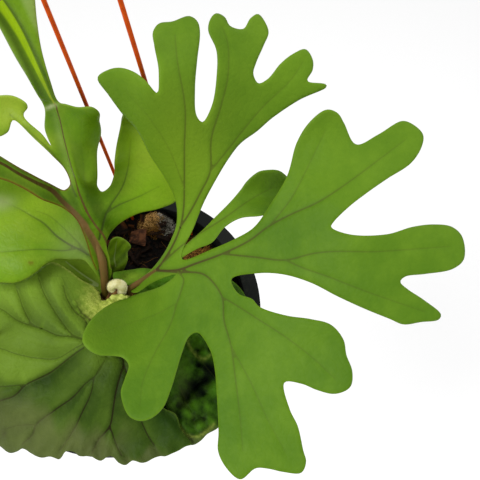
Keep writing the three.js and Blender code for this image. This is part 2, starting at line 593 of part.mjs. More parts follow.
function mixHeight(x, y) {
  const edge = innerWall(MIX_DEPTH) - GAP;
  const inward = Math.max(0, 1 - (Math.hypot(x, y) / edge) ** 4);
  const lumps = 1.1 * Math.sin(x * 0.31 + 1) * Math.cos(y * 0.27) + 0.6 * Math.sin(x * 0.7 - y * 0.6);
  const mound = MOUND * Math.exp(-((Math.hypot(x - CROWN.x, y - CROWN.y) / MOUND_WIDTH) ** 2));
  return -MIX_DEPTH + (lumps + mound) * inward;
}

function growingMix() {
  const floor = POT_HEIGHT - FOOT_RECESS - POT_WALL;
  const top = innerWall(MIX_DEPTH) - GAP;
  const narrowing = (innerWall(floor) - GAP) / top;
  const plan = fill([circle(0, 0, top, POT_SIDES)], [], 9);
  const bed = slab(plan,
    ([x, y]) => new THREE.Vector3(x, y, mixHeight(x, y)),
    ([x, y]) => new THREE.Vector3(x * narrowing, y * narrowing, GAP - floor));
  const draw = seeded(11);
  const chips = Array.from({ length: CHIPS }, () => {
    const turn = WHEEL * draw();
    const reach = 18 + 38 * draw();
    const [x, y] = [reach * Math.sin(turn), reach * Math.cos(turn)];
    return new THREE.BoxGeometry(7 + 7 * draw(), 5 + 4 * draw(), 4 + 2 * draw())
      .rotateX(0.5 * (draw() - 0.5)).rotateY(0.5 * (draw() - 0.5)).rotateZ(WHEEL * draw())
      .translate(x, y, mixHeight(x, y) - 0.8);
  });
  const slots = STRAND_TURNS.map((turn) => peg(MIX_SLOT, 40, 12)
    .translate(0, STRAND_INSET, 20 - STRAND_HOLE_DEPTH - 4)
    .rotateZ(-radians(turn)));
  const seat = new THREE.SphereGeometry(1, 20, 14)
    .scale(CROWN_SIZE.x + GAP, CROWN_SIZE.y + GAP, CROWN_SIZE.z + GAP).translate(...CROWN);
  return cut(joined(bed, ...chips), ...slots, seat, blade(BACK_SHIELD, { spacing: 4, grow: GAP }));
}

// Fronds. Each blade grows from a stalk that is rooted in the rhizome.

const RIGHT_ROOT = [[5, 4.5, 3], [4.8, 4.8, 9]];
const LEFT_ROOT = [[-7, 3, 2], [-7.6, 3.6, 8]];

function stalk(plan, root, line, radii, below, options) {
  const points = [...root.map((p) => new THREE.Vector3(...p)), ...line.map((p) => onBlade(plan, p, below))];
  return stem(points, radii, options);
}

function rightStalk(options) {
  return stalk(RIGHT_FROND, RIGHT_ROOT, RIGHT_FROND.stalk, [1.5, 1.5, 1.5, 1.5, 1.1], 0.6, options);
}

function rightFrond() {
  return joined(
    blade(RIGHT_FROND, { spacing: 6 }),
    blade(RIGHT_FROND_SIDE_LOBE, { spacing: 5.5, sink: 0.45 }),
    rightStalk());
}

function leftStalk(options) {
  const line = LEFT_FROND.stalk.slice(1, 6);
  return stalk(LEFT_FROND, LEFT_ROOT, line, [1.9, 1.9, 2.4, 2.4, 2.2, 1.8, 1.2], 1, options);
}

function leftFrond() {
  return joined(
    blade({ ...LEFT_FROND, veins: [LEFT_FROND.stalk, LEFT_FROND.left_limb] }, { spacing: 5, groove: 2.4, width: 3.2 }),
    blade(LEFT_FROND_LOW_BLADE, { spacing: 6 }),
    leftStalk());
}

// Crozier: the next frond, still a thick felted hook beside the crown.
const BUD_CURL = [
  [0.4, 4, 5], [1.1, 4.2, 11], [2.8, 4.2, 16.5], [3, 4.8, 19.6], [1, 5, 21.6],
  [-1.5, 4.2, 21.6], [-2.4, 3.2, 20], [-2, 2.8, 18.6],
];

function bud(options) {
  return stem(BUD_CURL.map((p) => new THREE.Vector3(...p)), [1.6, 1.6, 1.8, 2.2, 2.4, 2.4, 2.2, 1.2], options);
}

// Shields. The large one is domed over the pot's rim and curled down round it, with
// pleats between its veins. One strand rises through it in a plain hole.

const SHIELD_AT_STRAND = 18;      // its height over the rim there

function strandHole() {
  const turn = radians(STRAND_TURNS[2]);
  const reach = strandRadius(SHIELD_AT_STRAND);
  return circle(reach * Math.sin(turn), reach * Math.cos(turn), WIRE / 2 + 1.3, 8);
}

function largeShield(grow = 0) {
  return blade(LARGE_SHIELD, { spacing: 6.5, grow, groove: 1.4, width: 2.6, holes: [strandHole()] });
}

function rhizome() {
  const knob = new THREE.SphereGeometry(1, 24, 16).scale(...CROWN_SIZE).translate(...CROWN);
  return cut(knob,
    rightStalk({ grow: GAP }),
    leftStalk({ grow: GAP }),
    bud({ grow: GAP }),
    blade(LARGE_SHIELD, { spacing: 6.5, grow: GAP }),
    blade(RIGHT_SHIELD, { spacing: 7, grow: GAP }),
    blade(LEFT_SHIELD, { spacing: 7, grow: GAP }),
    blade(BACK_SHIELD, { spacing: 4, grow: GAP }));
}

// Materials

function finish(colour, roughness, metalness = 0) {
  return new THREE.MeshStandardMaterial({ color: colour, roughness, metalness });
}

const BLACK_PLASTIC = finish(0x22252a, 0.5);
const COATED_WIRE = finish(0xb44a12, 0.45);
const BARK_MIX = finish(0x2a1d12, 0.95);
const SCALY_BROWN = finish(0x6b4a24, 0.9);
const FROND_GREEN = finish(0x5f8a2c, 0.55);
const SHIELD_GREEN = finish(0x4f7a30, 0.6);
const OLD_SHIELD_GREEN = finish(0x3d4f24, 0.75);
const FELT_WHITE = finish(0xe4dfae, 0.9);

// Assembly: the pot and all it holds stand in one group below the hook.

const fern = new THREE.Group();
const planted = new THREE.Group();
planted.position.z = -HANG;
fern.add(planted);

function place(group, name, geometry, material) {
  const mesh = new THREE.Mesh(geometry, material);
  mesh.name = name;
  group.add(mesh);
}

place(fern, 'hanger_hook', hook(), COATED_WIRE);
place(planted, 'pot', pot(), BLACK_PLASTIC);
STRAND_TURNS.forEach((turn, i) => place(planted, `hanger_strand_${i + 1}`, strand(turn, i), COATED_WIRE));
place(planted, 'growing_mix', growingMix(), BARK_MIX);
place(planted, 'rhizome', rhizome(), SCALY_BROWN);
place(planted, 'shield_frond_large', largeShield(), SHIELD_GREEN);
place(planted, 'shield_frond_right', blade(RIGHT_SHIELD, { spacing: 7 }), OLD_SHIELD_GREEN);
place(planted, 'shield_frond_left', blade(LEFT_SHIELD, { spacing: 7 }), OLD_SHIELD_GREEN);
place(planted, 'shield_frond_back', blade(BACK_SHIELD, { spacing: 4 }), SHIELD_GREEN);
place(planted, 'frond_right', rightFrond(), FROND_GREEN);
place(planted, 'frond_left', leftFrond(), FROND_GREEN);
place(planted, 'new_frond_bud', bud(), FELT_WHITE);

export default fern;
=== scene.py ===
# %% [markdown]
# # A young staghorn fern in its hanging pot
#
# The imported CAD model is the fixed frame: it says where every piece is and how large.
# This lesson dresses it. It starts with the frame itself and with the few sizes that
# the pieces share. Everything is in the frame's own coordinates, with the origin in the
# hook, the pot's rim 470 mm below it, and +Y towards the back of the plant.

# %% Load the frame
import math
import random

import bpy
import numpy as np
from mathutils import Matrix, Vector
from mathutils.geometry import delaunay_2d_cdt
from mathutils.kdtree import KDTree


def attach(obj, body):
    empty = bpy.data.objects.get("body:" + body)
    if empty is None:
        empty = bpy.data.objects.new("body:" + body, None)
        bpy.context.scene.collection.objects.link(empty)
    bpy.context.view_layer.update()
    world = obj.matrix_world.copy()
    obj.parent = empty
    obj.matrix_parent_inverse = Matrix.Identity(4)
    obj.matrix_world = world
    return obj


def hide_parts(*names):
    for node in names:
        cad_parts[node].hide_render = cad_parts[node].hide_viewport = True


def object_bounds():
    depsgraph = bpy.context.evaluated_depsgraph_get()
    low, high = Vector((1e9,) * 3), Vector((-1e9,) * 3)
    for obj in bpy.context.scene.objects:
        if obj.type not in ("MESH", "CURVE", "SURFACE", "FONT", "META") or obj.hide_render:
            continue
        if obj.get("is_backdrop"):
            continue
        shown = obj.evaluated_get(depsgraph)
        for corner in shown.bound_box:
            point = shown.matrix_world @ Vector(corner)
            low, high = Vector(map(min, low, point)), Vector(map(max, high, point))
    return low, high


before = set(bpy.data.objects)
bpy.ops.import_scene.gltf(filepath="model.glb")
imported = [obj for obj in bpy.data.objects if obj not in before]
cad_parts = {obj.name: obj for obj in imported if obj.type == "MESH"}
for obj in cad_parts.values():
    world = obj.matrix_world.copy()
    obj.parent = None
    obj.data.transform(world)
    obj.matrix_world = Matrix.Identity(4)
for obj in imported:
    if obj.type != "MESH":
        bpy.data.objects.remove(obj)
cad_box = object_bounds()
print("CAD nodes:", sorted(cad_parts))

# %% Sizes that the pieces share, in millimetres
MM = 0.001
HANG = 470
RIM_RADIUS = 75
FLANGE_WIDTH = 8.5
POT_HEIGHT = 104
COLLAR_HEIGHT = 25
FOOT_RADIUS = 50
WALL = 1.6
WIRE = 1.8
STRAND_TURNS = [-2, 33, 248]
STRAND_DEPTH = 21
BLADE = 0.9

# %% [markdown]
# Each piece is one mesh that is made where it belongs, so its object stays at the
# origin, unturned. Three steps close every piece: it gets its finish, it is hung on the
# frame's one body, and it stands for the CAD nodes that it replaces.
# A small helper does them, and another makes a mesh from whole lists, because that is
# much faster than adding vertices one by one.

# %% Making and finishing a piece
def in_scene(name, data):
    made = bpy.data.objects.new(name, data)
    bpy.context.scene.collection.objects.link(made)
    return made


def mesh_object(name, points, faces, values=None):
    """An object from points in millimetres, measured from the middle of the pot's rim."""
    mesh = bpy.data.meshes.new(name)
    placed = (np.asarray(points, float) - [0, 0, HANG]) * MM
    mesh.from_pydata(placed.tolist(), [], [list(face) for face in faces])
    for key, value in (values or {}).items():
        layer = mesh.attributes.new(key, "FLOAT", "POINT")
        layer.data.foreach_set("value", np.asarray(value, np.float32))
    mesh.polygons.foreach_set("use_smooth", [True] * len(mesh.polygons))
    return in_scene(name, mesh)


def join(name, *parts):
    """One object from several (points, faces, values). A value that a part lacks is 0."""
    points, faces = [], []
    values = {key: [] for part in parts for key in part[2]}
    for part_points, part_faces, part_values in parts:
        faces += [[corner + len(points) for corner in face] for face in part_faces]
        points += list(part_points)
        for key, kept in values.items():
            kept.extend(part_values.get(key, [0.0] * len(part_points)))
    return mesh_object(name, points, faces, values)


def baked(piece):
    """Leaves what a piece's modifiers make as its plain mesh."""
    graph = bpy.context.evaluated_depsgraph_get()
    mesh = bpy.data.meshes.new_from_object(piece.evaluated_get(graph), depsgraph=graph)
    piece.modifiers.clear()
    piece.data = mesh
    return piece


def finish_piece(piece, material, slot, *nodes):
    if material is not None:
        piece.data.materials.clear()
        piece.data.materials.append(material)
    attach(piece, "root")
    if nodes:
        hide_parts(*nodes)
    count = sum(len(face.vertices) - 2 for face in piece.data.polygons)
    print(f"{piece.name}: {count} triangles")

# %% [markdown]
# A frond is drawn as if it were pressed flat. Its outline is points on the flat plan,
# x to the right and y along the frond. Its lifts are places that the real blade passes
# through, with their height above that plan. A place and a tilt then set the plan on the
# plant. The CAD part uses the same plans, so both have the same fronds.

# %% Plans of the fertile fronds
def make_plan(place, tilt, outline, lifts):
    return {"place": place, "tilt": tilt, "outline": outline, "lifts": lifts}


RIGHT_FROND = make_plan((5, 4, 15), 30, [
    (0, 1), (7, 6), (16, 13), (22, 20), (26, 27), (29, 35), (29, 46), (25, 56), (21, 63), (18, 71),
    (13, 77), (9, 83), (6, 88), (11, 90), (16, 90), (21, 88), (25, 85), (29, 81), (30, 88),
    (28, 98), (27, 104), (29, 108), (34, 109), (40, 111), (43, 109), (44, 105), (43, 94), (42, 84),
    (42, 76), (44, 74), (48, 80), (50, 90), (50, 99), (47, 106), (48, 111), (50, 113), (53, 112),
    (55, 109), (60, 109), (63, 114), (66, 116), (70, 110), (68, 104), (65, 97), (64, 93), (66, 90),
    (70, 92), (75, 98), (80, 102), (85, 104), (88, 100), (88, 96), (86, 92), (94, 91), (94, 90),
    (83, 85), (72, 78), (66, 73), (59, 68), (54, 62), (48, 53), (42, 43), (37, 32), (32, 22),
    (32, 18), (46, 23), (57, 28), (65, 33), (72, 43), (79, 55), (83, 69), (88, 77), (95, 82),
    (100, 81), (103, 77), (108, 68), (117, 72), (127, 78), (130, 78), (135, 75), (137, 72),
    (136, 67), (131, 60), (120, 53), (111, 47), (103, 41), (97, 35), (96, 33), (103, 30),
    (118, 30), (129, 33), (138, 34), (146, 33), (150, 29), (150, 20), (145, 16), (133, 14),
    (125, 13), (123, 11), (126, 8), (132, 4), (139, -2), (138, -4), (131, -5), (124, -6),
    (119, -4), (109, 0), (98, 5), (88, 10), (77, 13), (66, 13), (55, 10), (58, 4), (64, 2),
    (67, -1), (78, -4), (88, -5), (96, -7), (101, -13), (102, -19), (104, -25), (103, -31),
    (97, -34), (90, -33), (84, -31), (77, -31), (79, -41), (82, -47), (84, -56), (85, -60),
    (83, -64), (76, -64), (70, -63), (65, -63), (59, -67), (54, -64), (50, -58), (50, -51),
    (49, -37), (48, -28), (46, -21), (40, -14), (36, -16), (33, -23), (31, -30), (29, -37),
    (26, -44), (21, -48), (16, -49), (11, -47), (7, -39), (8, -34), (9, -29), (6, -26), (2, -25),
    (-4, -24), (-9, -21), (-12, -17), (-11, -10), (-7, -6), (1, -3), (12, 1), (23, 6), (29, 11),
    (25, 10), (16, 6), (4, -1),
], [
    (0, 0, -2), (17, 12, 18), (27, 43, 29), (21, 63, 52), (13, 79, 72), (8, 87, 80), (26, 82, 87),
    (31, 107, 80), (40, 108, 80), (51, 110, 77), (67, 112, 68), (57, 71, 57), (92, 90, 60),
    (41, 17, 35), (68, 37, 47), (84, 68, 50), (100, 80, 52), (135, 71, 50), (100, 42, 60),
    (149, 26, 60), (137, -1, 66), (101, 5, 63), (43, 0, 38), (64, 1, 49), (102, -13, 62),
    (101, -32, 66), (81, -62, 69), (59, -64, 68), (46, -16, 45), (21, -46, 53), (8, -43, 50),
    (-10, -14, 34), (21, 3, 25),
])

RIGHT_SIDE_LOBE = make_plan(RIGHT_FROND["place"], RIGHT_FROND["tilt"], [
    (22, 16), (29, 21), (36, 27), (42, 32), (47, 37), (53, 43), (59, 50), (62, 54), (67, 58),
    (71, 59), (77, 59), (82, 56), (85, 52), (82, 46), (77, 41), (68, 38), (59, 37), (52, 33),
    (46, 26), (39, 23), (32, 19), (25, 14),
], RIGHT_FROND["lifts"] + [(63, 45, 33), (73, 53, 28), (83, 53, 21), (80, 46, 25)])

LEFT_FROND = make_plan((-8, 3, 10), 65, [
    (2, 7), (5, 12), (6, 22), (6, 34), (8, 39), (15, 46), (23, 49), (32, 49), (40, 51), (40, 55),
    (39, 62), (36, 73), (33, 84), (31, 95), (29, 104), (27, 107), (21, 98), (17, 86), (15, 77),
    (13, 68), (11, 64), (8, 63), (7, 67), (9, 75), (10, 86), (12, 92), (14, 101), (16, 107),
    (14, 110), (7, 109), (2, 109), (-1, 109), (-1, 119), (-1, 132), (0, 142), (1, 149), (2, 157),
    (3, 164), (5, 171), (5, 178), (4, 182), (-1, 184), (-5, 182), (-8, 177), (-9, 172), (-13, 169),
    (-17, 169), (-21, 172), (-26, 173), (-31, 171), (-34, 167), (-31, 164), (-25, 160), (-21, 155),
    (-18, 147), (-16, 138), (-14, 127), (-11, 117), (-9, 105), (-12, 94), (-11, 86), (-14, 91),
    (-22, 98), (-19, 102), (-19, 104), (-24, 106), (-31, 106), (-38, 105), (-43, 103), (-45, 99),
    (-42, 95), (-36, 91), (-29, 92), (-27, 96), (-17, 88), (-11, 80), (-6, 70), (-6, 67), (-8, 66),
    (-15, 71), (-23, 78), (-31, 84), (-39, 89), (-46, 96), (-52, 103), (-58, 107), (-65, 107),
    (-69, 103), (-67, 97), (-61, 93), (-58, 89), (-61, 87), (-69, 87), (-77, 85), (-79, 81),
    (-76, 77), (-67, 76), (-54, 77), (-42, 79), (-31, 77), (-20, 69), (-9, 57), (-5, 50), (-3, 39),
    (-2, 25), (-1, 14), (-1, 8),
], [
    (-1, -1, -2), (1, 18, 0), (1, 35, 1), (0, 52, 2), (-8, 60, 4), (-15, 68, 7), (-24, 76, 8),
    (-31, 81, 8), (-47, 88, 5), (-67, 98, -7), (-70, 81, 10), (-10, 74, -3), (-13, 83, -3),
    (-19, 93, -5), (-27, 101, -10), (-40, 101, -7), (-1, 72, 2), (-2, 92, 4), (-3, 111, 7),
    (-5, 128, 10), (-6, 142, 12), (-9, 157, 13), (-24, 170, 9), (-3, 175, 7), (7, 74, 7),
    (7, 93, 6), (15, 106, 10), (1, 108, 6), (8, 45, -1), (17, 55, -4), (14, 70, -9), (19, 92, -12),
    (30, 79, -13), (40, 57, -14), (28, 52, -8),
])

LEFT_LOW_BLADE = make_plan((-8, 3, 10), 20, [
    (1, 6), (-1, 9), (-6, 17), (-12, 17), (-17, 17), (-21, 15), (-28, 8), (-35, 5), (-43, 5),
    (-51, 4), (-59, 7), (-64, 11), (-71, 12), (-79, 11), (-85, 15), (-86, 21), (-82, 27),
    (-74, 29), (-70, 33), (-72, 38), (-80, 44), (-85, 51), (-82, 58), (-73, 60), (-61, 58),
    (-47, 60), (-32, 53), (-20, 46), (-10, 38), (-4, 27), (0, 18), (1, 13), (2, 8),
], [
    (0, 3, 0), (0, 16, 15), (-10, 19, 22), (-19, 15, 26), (-28, 8, 30), (-43, 5, 29), (-4, 27, 20),
    (-17, 34, 25), (-30, 39, 29), (-46, 51, 28), (-43, 25, 31), (-62, 25, 32), (-76, 15, 31),
    (-76, 48, 27),
])

# %% [markdown]
# Two kinds of curve run through all of it. The outline is a Catmull-Rom curve, which
# passes through its given points and is spaced evenly afterwards, so that the
# triangles along the margin are all of one size. The blade's height is a thin plate:
# the least-bent surface through the lifts, found from one set of linear equations.

# %% Smooth outlines and smooth heights
def smooth(points, step, closed=False):
    """Evenly spaced points along the centripetal Catmull-Rom curve through the points."""
    p = np.asarray(points, float)
    if closed:
        p = np.vstack([p[-1:], p, p[:2]])
    else:
        p = np.vstack([2 * p[0] - p[1], p, 2 * p[-1] - p[-2]])
    path = []
    for a, b, c, d in zip(p[:-3], p[1:-2], p[2:-1], p[3:]):
        gaps = [max(np.linalg.norm(gap), 1e-4) ** 0.5 for gap in (b - a, c - b, d - c)]
        knots = np.cumsum([0] + gaps)
        t = np.linspace(knots[1], knots[2], 12, endpoint=False)[:, None]
        ab = (knots[1] - t) / knots[1] * a + t / knots[1] * b
        bc = ((knots[2] - t) * b + (t - knots[1]) * c) / (knots[2] - knots[1])
        cd = ((knots[3] - t) * c + (t - knots[2]) * d) / (knots[3] - knots[2])
        abc = ((knots[2] - t) * ab + t * bc) / knots[2]
        bcd = ((knots[3] - t) * bc + (t - knots[1]) * cd) / (knots[3] - knots[1])
        path.append(((knots[2] - t) * abc + (t - knots[1]) * bcd) / (knots[2] - knots[1]))
    path = np.vstack(path + [p[-2:-1]])
    length = np.concatenate([[0], np.cumsum(np.linalg.norm(np.diff(path, axis=0), axis=1))])
    count = max(2, round(length[-1] / step)) + 1
    even = np.linspace(0, length[-1], count)
    if closed:
        even = even[:-1]
    return np.stack([np.interp(even, length, path[:, k]) for k in range(path.shape[1])], -1)


def bend(r):
    return np.where(r > 1e-9, r * r * np.log(np.maximum(r, 1e-9)), 0)


def plate(lifts):
    """The height of the least-bent plate through the lifts, as a function of x and y."""
    at = np.array(lifts, float)
    n = len(at)
    rows = np.zeros((n + 3, n + 3))
    rows[:n, :n] = bend(np.hypot(*(at[:, None, k] - at[None, :, k] for k in (0, 1))))
    rows[:n, n:] = np.c_[np.ones(n), at[:, :2]]
    rows[n:, :n] = rows[:n, n:].T
    weights = np.linalg.solve(rows, np.append(at[:, 2], [0, 0, 0]))

    def height(x, y):
        reach = bend(np.hypot(x[..., None] - at[:, 0], y[..., None] - at[:, 1]))
        return reach @ weights[:n] + weights[n] + weights[n + 1] * x + weights[n + 2] * y
    return height


def to_plant(plan, points):
    """Plan coordinates with their height, turned and moved to their place on the plant."""
    tilt = math.radians(plan["tilt"])
    x, y, z = np.asarray(points, float).T
    turned = [x, y * math.cos(tilt) - z * math.sin(tilt), y * math.sin(tilt) + z * math.cos(tilt)]
    return np.stack(turned, -1) + plan["place"]

# %% [markdown]
# Veins are what a leaf is read by. They could be painted with a texture, but a texture
# needs an unwrapped blade and would only be colour. Here each vein is a line on the
# plan. Rows of points are laid along it, a triangular grid fills the rest, and
# Blender's Delaunay triangulation joins them. Each point then keeps its distance to the
# nearest vein and to the margin, both to shape the blade and as attributes for the
# finish, so colour and relief can't slide apart.

# %% Distance from points to a vein
def to_line(points, line):
    """Distance of points to a line, how far along that is (0 to 1), and on which side."""
    nearest = np.full(len(points), 1e9)
    along, side = np.zeros(len(points)), np.zeros(len(points))
    for i, (a, b) in enumerate(zip(line[:-1], line[1:])):
        run = b - a
        t = np.clip(((points - a) @ run) / (run @ run), 0, 1)
        gap = np.linalg.norm(points - a - t[:, None] * run, axis=1)
        closer = gap < nearest
        nearest[closer] = gap[closer]
        along[closer] = (i + t[closer]) / (len(line) - 1)
        off = points - a
        side[closer] = np.sign(run[0] * off[:, 1] - run[1] * off[:, 0])[closer]
    return nearest, along, side


def step_up(low, high, value):
    t = np.clip((np.asarray(value, float) - low) / (high - low), 0, 1)
    return t * t * (3 - 2 * t)

# %% [markdown]
# A vein is given by its line, and by its half width and darkness from base to tip. A rib
# is a broad vein with a colour of its own. Side paints a pleat's light and shade: the
# blade is painted lighter on the left of the vein and shaded on its right. What the
# points keep is their distance in half widths, because a distance stays sharp when it is
# interpolated between points, and a painted line would not. The blade's two faces share
# one triangulation. They are pushed apart along the surface's own normal, thinner at the
# margin, and a narrow strip closes the edge.

# %% A blade from its plan
def vein(line, half, dark, rib=None, side=0.0, reach=3.0):
    return {"line": line, "half": half, "dark": dark, "rib": rib, "side": side, "reach": reach}


def at(values, along):
    """A value part of the way along evenly spaced values."""
    return np.interp(along, np.linspace(0, 1, len(values)), values)


def spans(points, triangles):
    """The cross product of two sides of each triangle."""
    a, b, c = (points[triangles[:, k]] for k in range(3))
    return np.cross(b - a, c - a)


def flat_grid(edge, lines, step, hole):
    """Points, triangles and distances to the margin: a grid with rows along the lines."""
    kept = KDTree(len(edge))
    points = []
    for point in edge:
        kept.insert((*point, 0), len(points))
        points.append(point)
    kept.balance()
    placed = KDTree(sum(len(line) for line in lines.values()) + 1)
    for line in lines.values():
        for point in line:
            if kept.find((*point, 0))[2] > 0.5 * step:
                placed.insert((*point, 0), len(points))
                points.append(point)
    placed.balance()
    low, high = edge.min(0), edge.max(0)
    rows = np.arange(low[1], high[1], step * math.sqrt(0.75))
    for r, y in enumerate(rows):
        for x in np.arange(low[0] + (r % 2) * step / 2, high[0], step):
            spot = (x + 0.02 * math.sin(9 * y), y + 0.02 * math.sin(7 * x), 0)
            to_vein = placed.find(spot)[2]
            clear = to_vein is None or to_vein > 0.66 * step
            if clear and kept.find(spot)[2] > 0.66 * step:
                points.append(spot[:2])
    loop = [(i, (i + 1) % len(edge)) for i in range(len(edge))]
    found = delaunay_2d_cdt([Vector(p) for p in points], loop, [], 1, 1e-4)
    flat = np.array([tuple(p) for p in found[0]])
    triangles = np.array([t for t in found[2] if len(t) == 3])
    if hole is not None:
        middle = flat[triangles].mean(1)
        triangles = triangles[np.linalg.norm(middle - hole[:2], axis=1) > hole[2]]
    used = np.unique(triangles)
    renumber = np.zeros(len(flat), int)
    renumber[used] = np.arange(len(used))
    flat, triangles = flat[used], renumber[triangles]
    turn = spans(flat, triangles)
    triangles[turn < 0] = triangles[turn < 0][:, ::-1]
    return flat, triangles, np.array([kept.find((*p, 0))[2] for p in flat])


def vein_looks(flat, veins, lines):
    """What each point keeps of its nearest vein and rib, and its distance to them."""
    look = {key: np.zeros(len(flat)) for key in ("vein", "dark", "rib", "rib_tone", "shade")}
    look["vein"] += 6
    look["rib"] += 6
    nearest = np.full(len(flat), 99.0)
    for name, line in lines.items():
        gap, along, side = to_line(flat, line)
        ratio = gap / at(veins[name]["half"], along)
        kind, tint = ("rib", "rib_tone") if veins[name]["rib"] else ("vein", "dark")
        closer = ratio < look[kind]
        look[kind][closer] = ratio[closer]
        look[tint][closer] = at(veins[name]["rib"] or veins[name]["dark"], along)[closer]
        closer = gap < nearest
        # Painted light and shade beside a pleated vein; the relief uses it too.
        turn_over = np.clip(side * gap / 1.2, -1, 1)
        fade = np.exp(-gap / veins[name]["reach"])
        pleat = veins[name]["side"] * turn_over * fade * step_up(0, 0.1, along)
        look["shade"][closer] = pleat[closer]
        nearest = np.minimum(nearest, gap)
    return look, nearest


def blade(plan, veins, step, relief, paint, hole=None):
    """(points, faces, values) of a blade. Relief bends its middle surface further."""
    edge = smooth(plan["outline"], step, closed=True)
    lines = {name: smooth(look["line"], step) for name, look in veins.items()}
    flat, triangles, margin = flat_grid(edge, lines, step, hole)
    look, nearest = vein_looks(flat, veins, lines)
    x, y = flat.T
    height = plate(plan["lifts"])(x, y) + relief(x, y, nearest, margin, look["shade"])
    middle = to_plant(plan, np.c_[flat, height])
    normals = np.zeros_like(middle)
    facing = spans(middle, triangles)
    for corner in range(3):
        np.add.at(normals, triangles[:, corner], facing)
    normals /= np.linalg.norm(normals, axis=1)[:, None]
    half = BLADE / 2 * (0.35 + 0.65 * np.sqrt(np.clip(margin / 1.6, 0, 1)))
    both = np.vstack([middle + normals * half[:, None], middle - normals * half[:, None]])

    count = len(flat)
    sides = {(a, b) for t in triangles.tolist() for a, b in zip(t, t[1:] + t[:1])}
    strip = [[b, a, a + count, b + count] for a, b in sides if (b, a) not in sides]
    shape = triangles.tolist() + (triangles[:, ::-1] + count).tolist() + strip
    values = {key: np.tile(value, 2) for key, value in look.items()}
    values.update({"margin": np.tile(margin, 2), "under": np.repeat([0.0, 1.0], count)})
    for key, rule in paint.items():
        values[key] = np.tile(rule(x, y), 2)
    return both, shape, values

# %% [markdown]
# Stalks, buds and wires are tubes: a ring of points that is carried along a curve. The
# ring has to be turned with the curve without twisting, so each new ring keeps the last
# one's direction as nearly as the bend allows. The ends are closed with small domes.
# Neighbouring rings are joined by four-sided faces, here and in every round body below.

# %% A tube along a curve
DOME = (0.45, 0.9, 1.35)


def circle(radius, height, sides):
    turns = [2 * math.pi * k / sides for k in range(sides)]
    return [[radius * math.cos(turn), radius * math.sin(turn), height] for turn in turns]


def ring_faces(rings, sides, first=0, outward=False):
    """Faces between rings of points. The first ring starts at the point called first."""
    faces = []
    for i in range(rings - 1):
        for k in range(sides):
            a, b = first + i * sides + k, first + i * sides + (k + 1) % sides
            faces.append([a, a + sides, b + sides, b] if outward else [a, b, b + sides, a + sides])
    return faces


def tube(path, radii, step=0.8, sides=14, values=None):
    """(points, faces, values) of a round body along a smooth path, with rounded ends."""
    line = smooth(path, step)
    share = np.linspace(0, len(radii) - 1, len(line))
    wide = np.interp(share, range(len(radii)), radii)
    tangent = np.gradient(line, axis=0)
    tangent /= np.linalg.norm(tangent, axis=1)[:, None]
    rings = [(line[0] - tangent[0] * wide[0] * math.sin(a), wide[0] * math.cos(a), tangent[0])
             for a in DOME[::-1]]
    rings += list(zip(line, wide, tangent))
    rings += [(line[-1] + tangent[-1] * wide[-1] * math.sin(a), wide[-1] * math.cos(a), tangent[-1])
              for a in DOME]
    side = np.array([0.31, 0.84, -0.45])
    points = []
    for centre, radius, ahead in rings:
        side = side - ahead * (side @ ahead)
        side /= np.linalg.norm(side)
        across = np.cross(ahead, side)
        for k in range(sides):
            turn = 2 * math.pi * k / sides
            points.append(centre + radius * (side * math.cos(turn) + across * math.sin(turn)))
    faces = ring_faces(len(rings), sides)
    faces.append(list(range(sides))[::-1])
    faces.append([(len(rings) - 1) * sides + k for k in range(sides)])
    along = np.repeat(np.linspace(0, 1, len(rings)), sides)
    shared = {key: at(np.atleast_1d(value), along) for key, value in (values or {}).items()}
    return points, faces, shared


def on_blade(plan, points, below):
    """Points of a plan on the blade's middle surface, on the plant."""
    x, y = np.array(points, float).T
    return to_plant(plan, np.c_[x, y, plate(plan["lifts"])(x, y) - below])

# %% [markdown]
# ## Finishes
#
# Each finish is a node tree, and the sums in it are easiest to read as sums. Socket
# wraps one output of a node, so that a * b adds a Math node. Finish adds any other
# node in one call: its type, its settings, and the values or links of its sockets.
# Colours never go through Math nodes, which would turn them grey.

# %% Shader maths as expressions
class Socket:
    """One value in a finish's node tree."""

    def __init__(self, finish, output):
        self.finish, self.output = finish, output

    def maths(self, operation, *others, clamp=False):
        return self.finish.node("ShaderNodeMath", {"operation": operation, "use_clamp": clamp},
                                dict(enumerate((self,) + others)))

    def __add__(self, other):
        return self.maths("ADD", other)

    def __sub__(self, other):
        return self.maths("SUBTRACT", other)

    def __mul__(self, other):
        return self.maths("MULTIPLY", other)

    def most(self, other):
        return self.maths("MAXIMUM", other)

    def between(self, low, high):
        """0 below low, 1 above high, smooth in between. Works with low above high too."""
        return self.finish.node(
            "ShaderNodeMapRange", {"interpolation_type": "SMOOTHSTEP"},
            {"Value": self, "From Min": low, "From Max": high})

    __radd__ = __add__
    __rmul__ = __mul__

# %% [markdown]
# Finishes and the trees that scatter things are written the same way, so one class adds
# a node to either. A socket gets a link if its value is another node's output, and a
# plain value otherwise. Surface closes a finish: colour, roughness and bump go into one
# shader, and that into the output.

# %% Trees of nodes and finishes
class NodeTree:
    """A tree that is written from the first node to the last."""

    def add(self, kind, settings=None, sockets=None, output=0):
        made = self.tree.nodes.new(kind)
        for key, value in (settings or {}).items():
            setattr(made, key, value)
        for key, value in (sockets or {}).items():
            if isinstance(value, Socket):
                value = value.output
            if isinstance(value, bpy.types.NodeSocket):
                self.tree.links.new(value, made.inputs[key])
            else:
                made.inputs[key].default_value = value
        return made.outputs[output] if made.outputs else None


